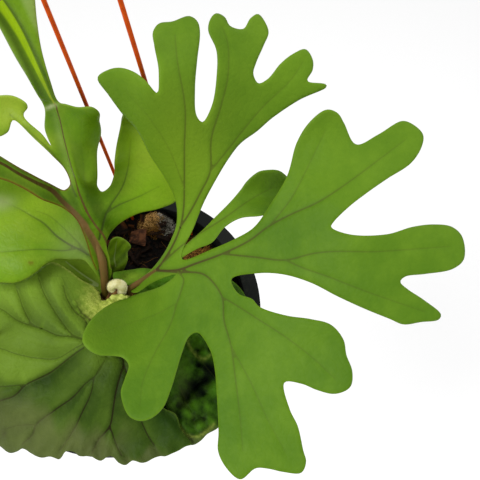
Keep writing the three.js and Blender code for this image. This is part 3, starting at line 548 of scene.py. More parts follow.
class Finish(NodeTree):
    """A material whose nodes are added one call at a time."""

    def __init__(self, name):
        self.material = bpy.data.materials.new(name)
        self.material.use_nodes = True
        self.tree = self.material.node_tree
        self.tree.nodes.clear()
        self.place = self.node("ShaderNodeTexCoord", output="Object")

    def node(self, *wanted, **output):
        return Socket(self, self.add(*wanted, **output))

    def attribute(self, name):
        return self.node("ShaderNodeAttribute", {"attribute_name": name}, output="Fac")

    def noise(self, scale, detail=3, roughness=0.5, distortion=0.0, stretch=None):
        place = self.place
        if stretch:
            place = self.node("ShaderNodeMapping", None, {"Vector": place, "Scale": stretch})
        return self.node("ShaderNodeTexNoise", None, {
            "Vector": place, "Scale": scale, "Detail": detail, "Roughness": roughness,
            "Distortion": distortion})

    def cells(self, scale):
        """Distance to the borders of small cells."""
        return self.node("ShaderNodeTexVoronoi", {"feature": "DISTANCE_TO_EDGE"},
                         {"Vector": self.place, "Scale": scale})

    def mix(self, factor, first, second):
        """Colour between two colours. Mix keeps its colour sockets at places 6 and 7."""
        return self.node("ShaderNodeMix", {"data_type": "RGBA"},
                         {0: factor, 6: first, 7: second}, output=2)

    def bump(self, height, strength, distance):
        return self.node("ShaderNodeBump", None,
                         {"Height": height, "Strength": strength, "Distance": distance * MM})

    def surface(self, base, roughness, normal=None, gloss=0.5):
        sockets = {"Base Color": base, "Roughness": roughness, "Specular IOR Level": gloss}
        if normal is not None:
            sockets["Normal"] = normal
        shader = self.node("ShaderNodeBsdfPrincipled", None, sockets)
        self.add("ShaderNodeOutputMaterial", None, {"Surface": shader})
        return self.material


def colour(red, green, blue):
    """A colour as seen on a screen, from 0 to 255, as the linear value that nodes use."""
    def linear(c):
        c = c / 255
        return c / 12.92 if c <= 0.04045 else ((c + 0.055) / 1.055) ** 2.4
    return (linear(red), linear(green), linear(blue), 1)


def scaled(seen, factor):
    return colour(*(c * factor for c in seen))

# %% [markdown]
# A fern's blade is leathery with a soft, waxy shine. Its green drifts over a hand's
# width, is speckled finely, and is darker right beside a vein. Under a lens the skin is
# netted, which the bump gives: the borders of small Voronoi cells, crossed with fine
# noise. The underside is paler and scurfy. Old margins dry out to olive, and the base of
# a shield is pale with felt. Light and shade are painted in as well: the lit and shaded
# sides of pleats, shade in channels and folds, light that comes through, and a sheen.
# One function makes every green of the plant from its own few colours, so that all
# fronds are plainly of one plant. Ribs have three colours along their length: nearly
# black-brown, the pinkish brown of a stalk, and yellow-green.

# %% The finish of a blade
def leaf_finish(name, deep, bright, veins, edge, dry_and_sheen=(72, 82, 42), roughness=0.5,
                mottle=0.25, net=0.25, gloss=0.1):
    deep_green, bright_green, pale_and_lit_green = colour(*deep), colour(*bright), colour(*edge)
    f = Finish(name)
    margin, shade, vein_dark = f.attribute("margin"), f.attribute("shade"), f.attribute("dark")
    drift = f.noise(16, 2).between(0.3, 0.7)
    speckle = f.noise(520, 4, 0.65)
    patches = f.noise(90, 4, 0.6).between(0.35, 0.75)
    fibres = f.noise(260, 2, 0.5, 0.4, (1, 0.25, 1))
    light = (f.attribute("tone") * 0.85 + drift * 0.3 - 0.08).maths("MAXIMUM", 0, clamp=True)
    green = f.mix(light, deep_green, bright_green)
    # Painted light and shade of the pleats: the lit side is mixed towards the pale green, which is
    # also the green of mottles and margins, and the shaded side towards a dark green.
    green = f.mix(shade.most(0.0) * 0.25, green, pale_and_lit_green)
    green = f.mix((shade * -1.0).most(0.0), green, scaled(deep, 0.6))
    # Painted light: a yellow-green glow where light comes through a blade, and where a blade is
    # painted as more brightly lit.
    green = f.mix(f.attribute("glow"), green, colour(164, 184, 56))
    green = f.mix(f.cells(95).between(0.03, 0.0) * 0.08, green, deep_green)
    green = f.mix(patches * mottle, green, pale_and_lit_green)
    green = f.mix((speckle - 0.4).most(0.0) * (mottle * 1.6), green, deep_green)
    green = f.mix((fibres - 0.45).most(0.0) * (mottle * 1.2), green, bright_green)
    # Painted shade on the flanks of channels and in folds; on the large shield, a dark green spot of
    # its own.
    green = f.mix(f.attribute("dim"), green, scaled(deep, 0.45))
    green = f.mix(margin.between(0.9, 0.1) * 0.25, green, pale_and_lit_green)
    ratio = f.attribute("vein")
    green = f.mix(ratio.between(6.0, 1.0) * vein_dark * 0.28, green, scaled(deep, 0.5))
    green = f.mix(ratio.between(1.7, 0.6) * vein_dark, green, colour(*veins))
    kind, cord = f.attribute("rib_tone"), f.noise(500, 3, 0.6, 0.0, (1, 0.2, 0.2))
    band = f.mix(kind.between(0.0, 0.5), colour(58, 34, 8), colour(115, 85, 50))
    band = f.mix(kind.between(0.5, 1.0), band, colour(136, 168, 4))
    band = f.mix((cord - 0.4).most(0.0) * 0.8, band, deep_green)
    green = f.mix(f.attribute("rib").between(1.2, 0.65) * 0.95, green, band)
    # Dried margins and a pale scar, and on the low blade a painted sheen, all in the dry colour.
    dried = f.mix(f.noise(130, 4, 0.6).between(0.3, 0.7), colour(*dry_and_sheen), scaled(dry_and_sheen, 1.15))
    green = f.mix(f.attribute("old") * 0.8, green, dried)
    rim = f.attribute("rim") * margin.between(0.7, 0.15)
    green = f.mix(rim.most(f.attribute("rust")) * 0.8, green, colour(92, 60, 10))
    tufts = f.noise(700, 4, 0.6).between(0.35, 0.65)
    felt = f.mix(tufts, colour(142, 158, 58), colour(182, 192, 90))
    green = f.mix(f.attribute("felt") * 0.9, green, felt)
    pale = f.mix(0.5, bright_green, colour(150, 160, 118))
    green = f.mix(f.attribute("under") * (0.1 + speckle * 0.3), green, pale)
    height = f.cells(330).between(0.0, 0.22) * net + f.noise(1500, 2) * 0.3
    height = height + ratio.between(0.0, 3.0) * vein_dark * 0.9 + f.attribute("felt") * speckle * 3
    rough = (speckle - 0.5) * 0.2 + roughness
    rough = rough + f.attribute("under") * 0.2 + f.attribute("felt") * 0.3
    return f.surface(green, rough, f.bump(height, 0.35, 0.5), gloss=gloss)


frond_right_green = leaf_finish(
    "frond_green_right", (60, 96, 12), (102, 136, 24), (62, 50, 24), (108, 140, 30),
    roughness=0.55)
# The left frond's dry colour is pale: it paints the scar and the low blade's painted sheen.
frond_left_green = leaf_finish(
    "frond_green_left", (50, 88, 2), (116, 154, 20), (44, 52, 20), (138, 160, 44),
    dry_and_sheen=(158, 166, 120), roughness=0.4)
shield_green = leaf_finish(
    "shield_green", (26, 50, 4), (110, 140, 40), (30, 26, 8), (108, 134, 46),
    dry_and_sheen=(78, 84, 46), mottle=0.12, net=0.4, gloss=0.06)
# The nearly black deep green is the shield's own dark green with the right frond's shadow painted
# into it.
old_shield_green = leaf_finish(
    "old_shield_green", (1, 16, 3), (70, 116, 18), (84, 98, 34), (104, 132, 36),
    mottle=0.12, net=0.5, gloss=0.05)
small_shield_green = leaf_finish(
    "small_shield_green", (36, 66, 2), (104, 138, 16), (150, 166, 104), (136, 160, 60))

# %% [markdown]
# ## The right frond
#
# The right frond spreads flat and forks into fingers. Its veins are thin and dark, the
# first ones are brown and nearly as wide as the stalk that they come from. The blade is
# sunk a little along them and gently wavy between them.

# %% Veins of the right frond
right_veins = {
    "stipe": vein([(0, 0), (9, 6), (18, 12)], (1.0, 0.7), (1, 1), (0.4, 0.3)),
    "upper": vein([(18, 12), (21, 15), (27, 24), (31, 33), (33, 42), (34, 50), (36, 65), (38, 78),
        (36, 93), (35, 103)], (0.45, 0.35, 0.28, 0.22), (1.0, 0.65, 0.4, 0.12)),
    "upper_left": vein([(34, 50), (30, 65), (25, 74), (17, 83)], (0.25, 0.2), (0.2, 0.05)),
    "upper_mid": vein([(31, 33), (36, 40), (41, 48), (46, 57), (47, 69), (51, 80), (54, 91),
        (54, 102), (52, 108)], (0.38, 0.3, 0.22), (0.7, 0.4, 0.12)),
    "upper_right": vein([(46, 57), (54, 66), (59, 72), (68, 82), (79, 92), (84, 99)],
        (0.3, 0.2), (0.35, 0.1)),
    "side": vein([(21, 15), (34, 26), (43, 31)], (0.4, 0.3), (0.6, 0.3)),
    "long": vein([(18, 12), (30, 13), (38, 16), (51, 21), (63, 27), (71, 33), (80, 38), (91, 43),
        (99, 48), (113, 58), (129, 70)], (0.5, 0.36, 0.3, 0.22), (1.0, 0.65, 0.35, 0.12)),
    "long_top": vein([(71, 33), (80, 44), (88, 59), (95, 74)], (0.28, 0.2), (0.3, 0.1)),
    "long_mid": vein([(51, 21), (65, 20), (78, 19), (89, 22), (97, 23), (113, 23), (130, 24),
        (144, 25)], (0.35, 0.28, 0.2), (0.6, 0.3, 0.1)),
    "long_low": vein([(78, 19), (85, 16), (94, 13), (107, 8), (121, 3), (133, -1)],
        (0.3, 0.2), (0.3, 0.1)),
    "fan": vein([(18, 12), (30, 12), (41, 12), (45, 10), (51, 2), (52, -8), (55, -18), (57, -31),
        (59, -46), (60, -57)], (0.42, 0.34, 0.28, 0.22), (0.9, 0.5, 0.3, 0.12)),
    "fan_right": vein([(51, 2), (57, -1), (66, -6), (78, -13), (89, -21), (97, -28)],
        (0.3, 0.2), (0.35, 0.1)),
    "fan_mid": vein([(55, -18), (64, -33), (70, -45), (77, -57)], (0.28, 0.2), (0.22, 0.08)),
    "thumb": vein([(30, 12), (33, 9), (32, 4), (30, -2), (27, -12), (20, -25), (16, -36),
        (16, -44)], (0.3, 0.24), (0.4, 0.2, 0.08)),
    "thumb_left": vein([(30, -2), (18, -9), (4, -14), (-6, -16)], (0.25, 0.2), (0.14, 0.05)),
}


def gentle(x, y, nearest, margin, shade):
    waves = 0.35 * np.sin(x * 0.17 + 1.3 * np.sin(y * 0.11)) * np.cos(y * 0.15 - 0.4)
    return waves * step_up(0, 9, margin) - 0.3 * np.exp(-((nearest / 1.1) ** 2))


def spot(x, y, at_x, at_y, wide, tall):
    return np.exp(-(((x - at_x) / wide) ** 2 + ((y - at_y) / tall) ** 2))

# %% [markdown]
# Tone says how light the green is, from 0 to 1, at each place of the plan, and in places
# it is painted light and shade as well. The fronds were compared with the photograph
# lobe by lobe, and the tones follow from that. The side lobe is a second, smaller blade
# under the first. The stalk is a tube that goes over into the first, broad vein.

# %% The right frond's blade, side lobe and stalk
def right_tone(x, y):
    # The spot at (38, 65) is painted light, a sheen on the blade.
    middle = 0.5 * spot(x, y, 34, 45, 16, 30) + 0.55 * spot(x, y, 38, 65, 14, 16)
    long = 0.15 * spot(x, y, 136, 26, 20, 14) - 0.3 * spot(x, y, 84, 32, 24, 18)
    fan = 0.3 * spot(x, y, 40, -6, 30, 26) + 0.2 * step_up(0, -40, y)
    return 0.44 + middle + long - fan - 0.1 * step_up(50, 90, x) + 0.16 * step_up(70, 100, y)


side_veins = {
    "side": vein([(21, 15), (34, 26), (52, 37), (63, 45), (74, 52)], (0.5, 0.2), (0.6, 0.15))}
right_root = [(5, 4.5, 3), (4.8, 4.8, 9)]
right_stalk = np.vstack([right_root, on_blade(RIGHT_FROND, [(0, 0), (9, 6), (18, 12)], 0.5)])
brown = {
    "vein": 6.0, "rib": 0.0, "rib_tone": (0.1, 0.2, 0.32, 0.3, 0.25), "margin": 9.0, "tone": 0.5}
frond_right = join(
    "frond_right_blade",
    blade(RIGHT_FROND, right_veins, 1.0, gentle,
          # The glow at (38, 65) is painted light too.
          {"tone": right_tone, "glow": lambda x, y: 0.1 * spot(x, y, 38, 65, 14, 18)}),
    blade(RIGHT_SIDE_LOBE, side_veins, 1.1, lambda *a: gentle(*a) - 0.45, {"tone": right_tone}),
    tube(right_stalk, [1.5, 1.5, 1.5, 1.45, 1.0], values=brown))
finish_piece(frond_right, frond_right_green, "frond_green", "frond_right")

# %% [markdown]
# ## The left frond
#
# The left frond stands up, so its stalk and two limbs are seen along their length. They
# are channels with raised margins. The brown stalk bends over into the limb to the left
# and gets thinner and darker along it. The upright limb has a thin reddish ridge up to a
# pale scar, where an old wound has healed, and a bright yellow-green midrib beyond. The
# broad low blade hangs out to the left over the pot.

# %% Veins of the left frond
left_veins = {
    "stalk": vein([(0.8, 6), (1.7, 14), (2.2, 24), (1, 33), (-1, 41.5), (-3.2, 48.5), (-6, 55),
        (-9.3, 60.5), (-13, 67), (-19, 72), (-25, 77), (-31, 81.5), (-43, 86), (-54, 88)],
        (1.9, 2.1, 2.0, 1.8, 1.1, 0.6, 0.5, 0.45, 0.4), (1, 1),
        (0.2, 0.5, 0.5, 0.45, 0.2, 0.0, 0.0, 0.0, 0.0), 0.4, 2.5),
    "ridge": vein([(6, 18), (6.5, 24), (6.6, 33.6), (5.4, 40.8), (2.7, 47.6), (0.3, 55.3),
        (-1.2, 63.9), (-1.6, 73), (-2, 82.6), (-2, 92), (-2, 100), (-2.4, 107.5)],
        (0.3, 0.45, 0.5, 0.4, 0.4, 0.35), (1, 1), (0.25, 0.25, 0.2, 0.15, 0.15, 0.1), 0.0, 2.5),
    "side": vein([(-3.5, 62), (-7.5, 74), (-12, 84), (-20, 92), (-28, 98)], (0.5, 0.3), (0.5, 0.2)),
    "lobe1": vein([(0, 54), (4, 74), (5, 91), (8, 103)], (0.3, 0.2), (0.15, 0.05)),
    "lobe2": vein([(3, 37), (8, 51), (11, 56), (16, 62), (19, 70), (22, 84)],
        (0.42, 0.3, 0.22), (0.8, 0.5, 0.1)),
    "lobe2b": vein([(8, 52), (14, 55), (24, 57), (33, 60)], (0.34, 0.2), (0.6, 0.12)),
    "top_left": vein([(-8, 154), (-15, 163), (-24, 168)], (0.5, 0.3), (0.3, 0.1)),
    "top_right": vein([(-8, 162), (-4, 170), (-1, 178)], (0.5, 0.3), (0.3, 0.1)),
    "end_a": vein([(-43, 86), (-54, 94), (-62, 101)], (0.6, 0.3), (0.6, 0.2)),
    "end_b": vein([(-54, 87), (-64, 82), (-73, 81)], (0.6, 0.3), (0.6, 0.2)),
}

low_veins = {
    "main": vein([(0, 6), (-1, 17), (-6, 21), (-12, 24), (-18, 28), (-24, 34), (-29, 37),
        (-38, 42), (-53, 48), (-69, 51)], (0.45, 0.4, 0.3, 0.2), (0.9, 0.7, 0.1, 0.05)),
    "upper": vein([(-2, 18), (-9, 26), (-15, 32), (-22, 38), (-28, 40)], (0.3, 0.2), (0.4, 0.15)),
    "lower": vein([(-10, 22), (-15, 21), (-24, 21), (-34, 20), (-50, 19), (-66, 19)],
        (0.3, 0.25), (0.5, 0.2, 0.05)),
}

SCAR = 107
ridge_line = smooth(left_veins["ridge"]["line"], 1.0)
upper_line = smooth([
    (-3.4, 108.5), (-4.5, 116.5), (-6.6, 127.3), (-9.3, 138.5), (-13, 147.8), (-18.7, 156.7)], 1.0)
limb_line = smooth(left_veins["stalk"]["line"], 1.0)

# %% [markdown]
# Each look of the left frond is one small rule on its plan: the pale scar and edges, the
# tone, the painted light in the lobes that light comes through, the painted shade on the
# flanks of the channels, and the reddish margins. The relief sinks the channels and
# raises the ridge between them.

# %% Rules of the left frond's looks
channel_lines = [limb_line, upper_line, ridge_line[30:] + (-3.2, 0)]


def channelled(x, y, nearest, margin, shade):
    points = np.c_[x, y]
    gap = np.min([to_line(points, line)[0] for line in channel_lines], axis=0)
    waves = 0.3 * np.sin(x * 0.2) * np.cos(y * 0.13)
    ridge = 0.9 * np.exp(-((to_line(points, ridge_line)[0] / 1.1) ** 2))
    return waves * step_up(0, 9, margin) - 2.2 * np.exp(-((gap / 3.0) ** 2)) + ridge


def scarred(x, y):
    pale_edge = 0.26 * step_up(118, 135, y) * step_up(0.5, 3, x + 0.28 * (y - 130))
    collar = spot(x, y - 0.5 * (x + 5), -6, SCAR - 0.6, 3.6, 0.9)
    trough = 0.16 * spot(x, y, -5, 86, 2.5, 22)
    return np.maximum(collar * 0.9, pale_edge) + trough


def left_tone(x, y):
    lobe = step_up(10, 24, x) * step_up(100, 80, y)
    # The spot at (30, 80), at the end of the second lobe, is painted light.
    top = 0.3 * spot(x, y, 30, 80, 9, 14) + 0.25 * step_up(116, 130, y)
    return 0.36 + 0.45 * lobe + top + 0.3 * step_up(60, 100, -x) + 0.3 * spot(x, y, -8, 72, 4, 10)


def translucent(x, y):
    """Where light comes through the blade and turns it yellow-green."""
    small_lobe = step_up(-14, -24, x) * step_up(90, 96, y)
    lobe_end = 0.35 * step_up(16, 30, x) * step_up(58, 76, y)
    return np.clip(0.5 * small_lobe + lobe_end + 0.4 * spot(x, y, -15, 89, 6, 5), 0, 1)


def shaded(x, y):
    """The flanks of the channels, which the light does not reach."""
    past = x - np.interp(y, upper_line[:, 1], upper_line[:, 0])
    flanks = (spot(past, 0, 3.0, 0, 1.6, 1) + spot(past, 0, -3.6, 0, 1.8, 1)) * step_up(106, 114, y)
    beside = x - np.interp(y, ridge_line[:, 1], ridge_line[:, 0])
    below_lobe = step_up(1, 3, beside) * step_up(10, 5, beside)
    below_lobe = below_lobe * step_up(24, 36, y) * step_up(104, 80, y)
    over = y - np.interp(x, limb_line[::-1, 0], limb_line[::-1, 1])
    trough, wall = spot(over, 0, -3.0, 0, 1.6, 1), spot(over, 0, 2.6, 0, 1.6, 1)
    limb = (0.7 * wall + 0.35 * trough) * step_up(-4, -9, x) * step_up(96, 92, y)
    return np.clip(0.6 * flanks + 0.45 * below_lobe + limb, 0, 0.8)


def low_tone(x, y):
    # The first spot is painted light, as the glow there is.
    near = 0.35 * spot(x, y, -26, 46, 9, 7) + 0.14 * spot(x, y, -16, 31, 8, 8)
    return 0.66 + near - 0.1 * spot(x, y, -36, 28, 10, 12) + 0.15 * step_up(40, 60, -x)


def paled(x, y):
    """A painted sheen at the low blade's far edge, and its paler foot."""
    return 0.6 * spot(x, y, -46, 44, 7, 4) + 0.22 * spot(x, y, -9, 25, 9, 14)


def rimmed(x, y):
    """Reddish-brown margins along the stalk and the left limb."""
    past_limb = step_up(-5, -9, x) * step_up(80, 86, y)
    return step_up(2.5, 0.5, x) * step_up(104, 98, y) * step_up(6, 20, y) * (1 - past_limb)

# %% [markdown]
# The upright limb's midrib is a broad rib. It is added here, because its line was needed
# for the channels first. The low blade is a blade of its own, and the stalk a tube that
# ends inside the channel.

# %% The left frond's blades and stalk
def low_glow(x, y):
    # Painted light on the low blade.
    return 0.16 * spot(x, y, -38, 34, 14, 9) + 0.2 * spot(x, y, -26, 46, 9, 7)


def low_speck(x, y):
    """A rusty speck near the low blade's edge."""
    return spot(x, y, -27.8, 14.2, 1, 0.8)


left_veins["upper"] = vein(upper_line, (0.5, 1.1, 1.6, 2.0, 2.3, 2.5), (1, 1), (0.8, 0.95, 1.0, 1.0))
left_root = [(-7, 3, 2), (-7.6, 3.6, 8)]
left_stalk = np.vstack([
    left_root, on_blade(LEFT_FROND, [(1.4, 13), (2.2, 24)], 1.2),
    on_blade(LEFT_FROND, [(0.4, 36)], 3.6)])
frond_left = join(
    "frond_left_blade",
    blade(LEFT_FROND, left_veins, 0.9, channelled,
          {"tone": left_tone, "old": scarred, "glow": translucent, "dim": shaded, "rim": rimmed}),
    blade(LEFT_LOW_BLADE, low_veins, 1.1, gentle,
          {"tone": low_tone, "old": paled, "glow": low_glow, "rust": low_speck}),
    tube(left_stalk, [1.9, 1.9, 2.1, 2.2, 1.0],
         values={**brown, "rib_tone": (0.0, 0.1, 0.4, 0.5, 0.5)}))
finish_piece(frond_left, frond_left_green, "frond_green", "frond_left")

# %% [markdown]
# ## The shield fronds
#
# Shields are the other kind of frond: they clasp what the plant grows on and never
# stand up. The large one is domed over the rim and pleated like a scallop shell, with
# each vein in the bottom of a valley and a pillow between two veins. The relief is a
# sum: a valley along each vein, and ripples that run out to the wavy margin. Its base
# and its top edge are pale with felt, and the margin over the rim has dried.

# %% Plans of the shields
LARGE_SHIELD = make_plan((0, 0, 0), 0, [
    (-7, -2), (-11, 5), (-18, 7), (-23, 10), (-31, 13), (-38, 8), (-47, 4), (-58, 4), (-70, 3),
    (-81, -2), (-87, -13), (-90, -28), (-86, -43), (-78, -56), (-67, -66), (-55, -69), (-50, -72),
    (-45, -72), (-41, -71), (-37, -73), (-32, -75), (-26, -75), (-22, -76), (-19, -73), (-15, -73),
    (-12, -75), (-7, -75), (-2, -77), (3, -75), (7, -78), (10, -79), (13, -77), (18, -78),
    (26, -75), (29, -75), (38, -71), (41, -70), (36, -64), (33, -57), (27, -54), (22, -46),
    (19, -36), (17, -23), (14, -11), (10, -3), (6, 1), (1, 0), (-4, -1),
], [
    (-8, -27, 27), (-3, -1, 14), (-10, 3, 14), (-18, 6, 23), (-31, 11, 30), (-46, 3, 27),
    (-58, 3, 24), (-75, -6, 14), (-55, -12, 21), (-52, -31, 19), (-51, -51, 10), (-67, -66, -12),
    (-88, -33, -2), (-52, -71, -9), (-33, -74, -2), (-21, -75, 0), (-7, -75, 2), (7, -77, 2),
    (18, -77, 2), (26, -75, 2), (38, -71, 3), (41, -69, 4), (35, -62, 6), (27, -54, 9),
    (-5, -68, 3), (14, -69, 3), (28, -67, 4), (-22, -68, 3), (21, -51, 13), (-2, -52, 17),
    (-28, -42, 14), (14, -23, 17), (7, -4, 14),
])

RIGHT_SHIELD = make_plan((0, 0, 0), 0, [
    (2, 10), (-3, 11), (-5, 17), (-1, 18), (5, 19), (11, 20), (21, 19), (31, 20), (42, 22),
    (50, 20), (59, 16), (65, 10), (69, 0), (72, -15), (70, -30), (65, -43), (60, -53), (53, -62),
    (48, -65), (45, -68), (41, -70), (35, -68), (32, -63), (30, -57), (26, -51), (19, -42),
    (12, -31), (8, -20), (5, -11), (5, -1), (9, 4), (7, 9),
], [
    (-6, 10, 9), (12, 18, 9), (31, 20, 6), (50, 18, 4), (60, 13, 2), (68, 3, 2), (70, -15, 2),
    (67, -34, 2), (61, -48, 2), (53, -62, 0), (47, -66, 1), (41, -69, 1), (37, -70, 1),
    (33, -64, 2), (44, -43, 7), (36, -18, 9), (17, -5, 9), (31, -53, 4), (11, -35, 5),
    (54, -15, 7),
])

LEFT_SHIELD = make_plan((0, 0, 0), 0, [
    (-10, 7), (-11, 13), (-14, 19), (-18, 23), (-24, 27), (-34, 31), (-46, 31), (-56, 27),
    (-62, 18), (-64, 7), (-59, -5), (-47, -14), (-33, -16), (-20, -9), (-15, 1),
], [
    (-14, 12, 8), (-23, 19, 11), (-34, 23, 11), (-47, 23, 8), (-59, 10, 3), (-46, -11, 5),
    (-25, -7, 9),
])

BACK_SHIELD = make_plan((2, 14, 4), 50, [
    (-11, 6), (-11, 13), (-8, 23), (-5, 25), (-2, 24), (2, 18), (0, 15), (0, 11), (-2, 6), (-5, 1),
    (-11, -1),
], [
    (-9, 7, -6), (-4, 6, -6), (0, 12, -6), (1, 19, -7), (-5, 24, -4), (-10, 19, -4), (-10, 11, -5),
    (-5, 15, -7), (-11, 1, -12), (-5, 0, -11),
])

# %% [markdown]
# Most veins of the large shield have a pleat to one side, painted lighter on one side
# and shaded on the other. Its looks are rules on its plan again: the tone with its
# painted light and shade, the felt of its base and top edge, the dried margin, and one
# green spot that is left in it.

# %% Veins and looks of the large shield
large_veins = {
    "v1": vein([(-8, -27), (-19, -24), (-25, -23), (-32, -20), (-39, -18), (-46, -15), (-55, -9),
        (-76, 0)], (0.35, 0.25), (0.5, 0.3), None, 0.4, 4),
    "v2": vein([(-32, -20), (-38, -17), (-43, -10), (-48, 0)],
        (0.28, 0.22), (0.5, 0.4), None, 0.7, 3.2),
    "v3": vein([(-10, -26), (-17, -23), (-23, -17), (-30, -8), (-34, -2), (-37, 5)],
        (0.28, 0.22), (0.5, 0.4), None, 0.7, 3.2),
    "v4": vein([(-9, -24), (-12, -16), (-18, -11), (-23, -4), (-25, 2)],
        (0.3, 0.22), (0.6, 0.4), None, 0.7, 3),
    "fold": vein([(-8, -21), (-10, -15), (-15, -11), (-18, -7)],
        (0.6, 0.3), (1.0, 0.4), None, 0.8, 3),
    "v6": vein([(-10, -28), (-23, -33), (-32, -33), (-44, -31), (-53, -28), (-76, -23)],
        (0.25, 0.2), (0.4, 0.3), None, 0.25, 4),
    "v7": vein([(-10, -30), (-18, -34), (-26, -38), (-33, -41), (-39, -44), (-45, -49), (-52, -51),
        (-68, -55)], (0.32, 0.26), (0.6, 0.9), None, -0.6, 5),
    "v7b": vein([(-39, -44), (-51, -45), (-74, -42)], (0.24, 0.2), (0.5, 0.3), None, 0.3, 4),
    "v8": vein([(2, -26), (0.5, -31), (0, -35), (-3, -41), (-10, -46), (-17, -51), (-25, -55),
        (-34, -61), (-36, -65), (-41, -69)], (0.15, 0.3, 0.26), (0.1, 0.8, 0.9), None, -0.5, 4),
    "v8b": vein([(-34, -61), (-44, -61), (-54, -63)], (0.24, 0.2), (0.5, 0.3), None, -0.3, 4),
    "v9": vein([(0, -35), (-4, -42), (-6, -49), (-12, -58), (-18, -67), (-22, -72)],
        (0.2, 0.3, 0.26), (0.3, 0.8, 0.8), None, -0.5, 4),
    "v10": vein([(3, -31), (8, -35), (6, -46), (4, -55), (2, -62), (-4, -68), (-6, -74)],
        (0.45, 0.28), (0.7, 1.0), None, -0.5, 4),
    "v10b": vein([(2, -62), (5, -70), (8, -75)], (0.28, 0.24), (1.0, 0.7), None, -0.4, 3),
    "v11": vein([(8, -35), (14, -50), (17, -60), (20, -66), (23, -70)],
        (0.3, 0.26), (0.8, 0.8), None, 0.4, 4),
}


def from_crown(x, y):
    return np.hypot(x + 1, y + 2)


def pleated(x, y, nearest, margin, shade):
    crease = 1.2 * shade - 1.1 * np.exp(-((nearest / 1.3) ** 2)) + step_up(0, 9, nearest)
    turn = np.arctan2(y + 28, x + 4)
    ripple = 0.7 * np.sin(turn * 46) * step_up(7, 1, margin) * step_up(-20, -50, y)
    waves = 0.4 * np.sin(x * 0.33 + y * 0.2) * np.cos(y * 0.29 - x * 0.12)
    far = from_crown(x, y)
    lip = 2.6 * step_up(9, 2, far) * (0.8 + 0.4 * np.sin(1.3 * x + 1) * np.cos(0.9 * y))
    crumple = 0.5 * np.sin(x * 1.9 + np.sin(y * 1.3)) * np.sin(y * 1.7) * step_up(18, 9, far)
    return (crease + waves) * step_up(0, 6, margin) + ripple + lip + crumple


def large_tone_and_shade(x, y):
    """Painted light above the vein that runs out to the lower left, and painted shade below it: the
    fertile frond's shadow and the dome's side turned from the light.
    """
    divide = np.array([(-68, -46), *large_veins["v7"]["line"][4::-1]], float)
    above = y - np.interp(x, divide[:, 0], divide[:, 1])
    middle = 0.4 * spot(x, y, -1, -35, 9, 7)
    lit = 0.56 + 0.16 * step_up(-25, -45, x) + 0.56 * step_up(-20, 0, y)
    dull = 0.12 * spot(x, y, -24, -29, 10, 7) + 0.07 * spot(x, y, -34, -42, 9, 8)
    hem = 0.08 * step_up(-8, 2, x) * step_up(-44, -56, y) + 0.14 * step_up(-52, -66, y)
    spread = 1 + 6 * step_up(-46, -60, x)
    return -0.08 + lit * step_up(-2, 3, above / spread) + middle - dull + hem


TOP_EDGE = [(-34, 12), (-31, 13), (-23, 10), (-18, 7), (-11, 5)]


def felted(x, y):
    crown = step_up(19, 8, from_crown(x, y) + 1.5 * np.sin(x * 1.1) * np.cos(y * 1.2))
    lip = to_line(np.column_stack([x, y]), smooth(TOP_EDGE, 0.6))[0]
    return np.maximum(crown, 0.75 * step_up(1.1, 0.2, lip))


def dried(x, y):
    """How far the margin has dried: a band that widens where it hangs over the rim."""
    reach = np.hypot(x + 2, y + 26) - 2.2 * np.sin(x * 0.5) - 1.5 * np.sin(x * 0.23 + 1)
    corner = step_up(22, 8, np.hypot(x + 62, y + 60))
    band = step_up(35, 44, reach) * step_up(-44, -58, y) * step_up(18, -2, x)
    hem = 0.65 * step_up(51, 54.5, reach) * step_up(0, 5, x) * step_up(32, 26, x)
    return np.maximum(np.maximum(0.8 * band, corner * 0.9), hem)


def torn(x, y):
    """A green spot in the dried corner."""
    return spot(x, y, -51, -64, 1.6, 1.4)

# %% [markdown]
# The other shields are older. The right one is crumpled into dark pillows with deep
# folds between them. Its dark green has the right frond's shadow painted into it, and
# its folds are painted nearly black with shade. The left one is a smooth olive tongue
# with pale veins. A small new one curls up behind the crown. The right one's veins are
# laid out by a rule: they fan out from the crown to the margin and sway to both sides,
# so that no two are alike. Its folds and ridges are rows of place, height and width,
# and its dry rims are lines.

# %% Crumpled pillows of the right shield
def fanned(crown, ends, sway):
    """Lines from the crown to each end, swaying a little from side to side."""
    lines = []
    for i, end in enumerate(ends):
        way = np.array(end, float) - crown
        side = np.array([-way[1], way[0]]) / np.linalg.norm(way)
        lines.append([crown + way * t + side * sway * math.sin(5 * t + 2.1 * i)
                      for t in (0.08, 0.3, 0.55, 0.8, 0.97)])
    return lines


right_fan = fanned(np.array([6.0, 8.0]), [
    (24, 19), (44, 20), (62, 12), (70, -8), (69, -30), (60, -52), (47, -64), (34, -62), (22, -44),
    (12, -30)], 2.6)
FOLDS = [
    (43, -32.6, 2, 1.8), (47, -34, 2.6, 2.4), (51, -35.5, 3, 3), (46.5, -40, 2.6, 2.4),
    (41.5, -43, 3, 3), (37.5, -48, 2.4, 2.4), (34, -52, 1.6, 1.8), (45.6, -46.6, 1.8, 1.6),
    (48.6, -25, 1.6, 1.6), (42.5, -25.5, 1, 1.4), (41, -58.4, 1, 1.4), (46.4, -58, 1, 1.3),
    (55, -8, 0.9, 7), (30, 4, 0.9, 7)]
RIDGES = [
    (38.6, -18, 1.6, 3), (43.5, -21.5, 1, 2), (45.5, -27.6, 1.2, 1.8), (35, -36, 1.8, 4),
    (51.5, -44.5, 2.2, 3), (42.5, -51.8, 1.4, 2), (47.4, -52.6, 1.4, 2), (38.4, -55.4, 1.2, 1.8),
    (44.5, -61.5, 1.2, 1.8), (50, -59.4, 1, 1.8), (39, -62.6, 1, 1.6), (62, -22, 2, 6),
    (22, 12, 1.6, 6)]
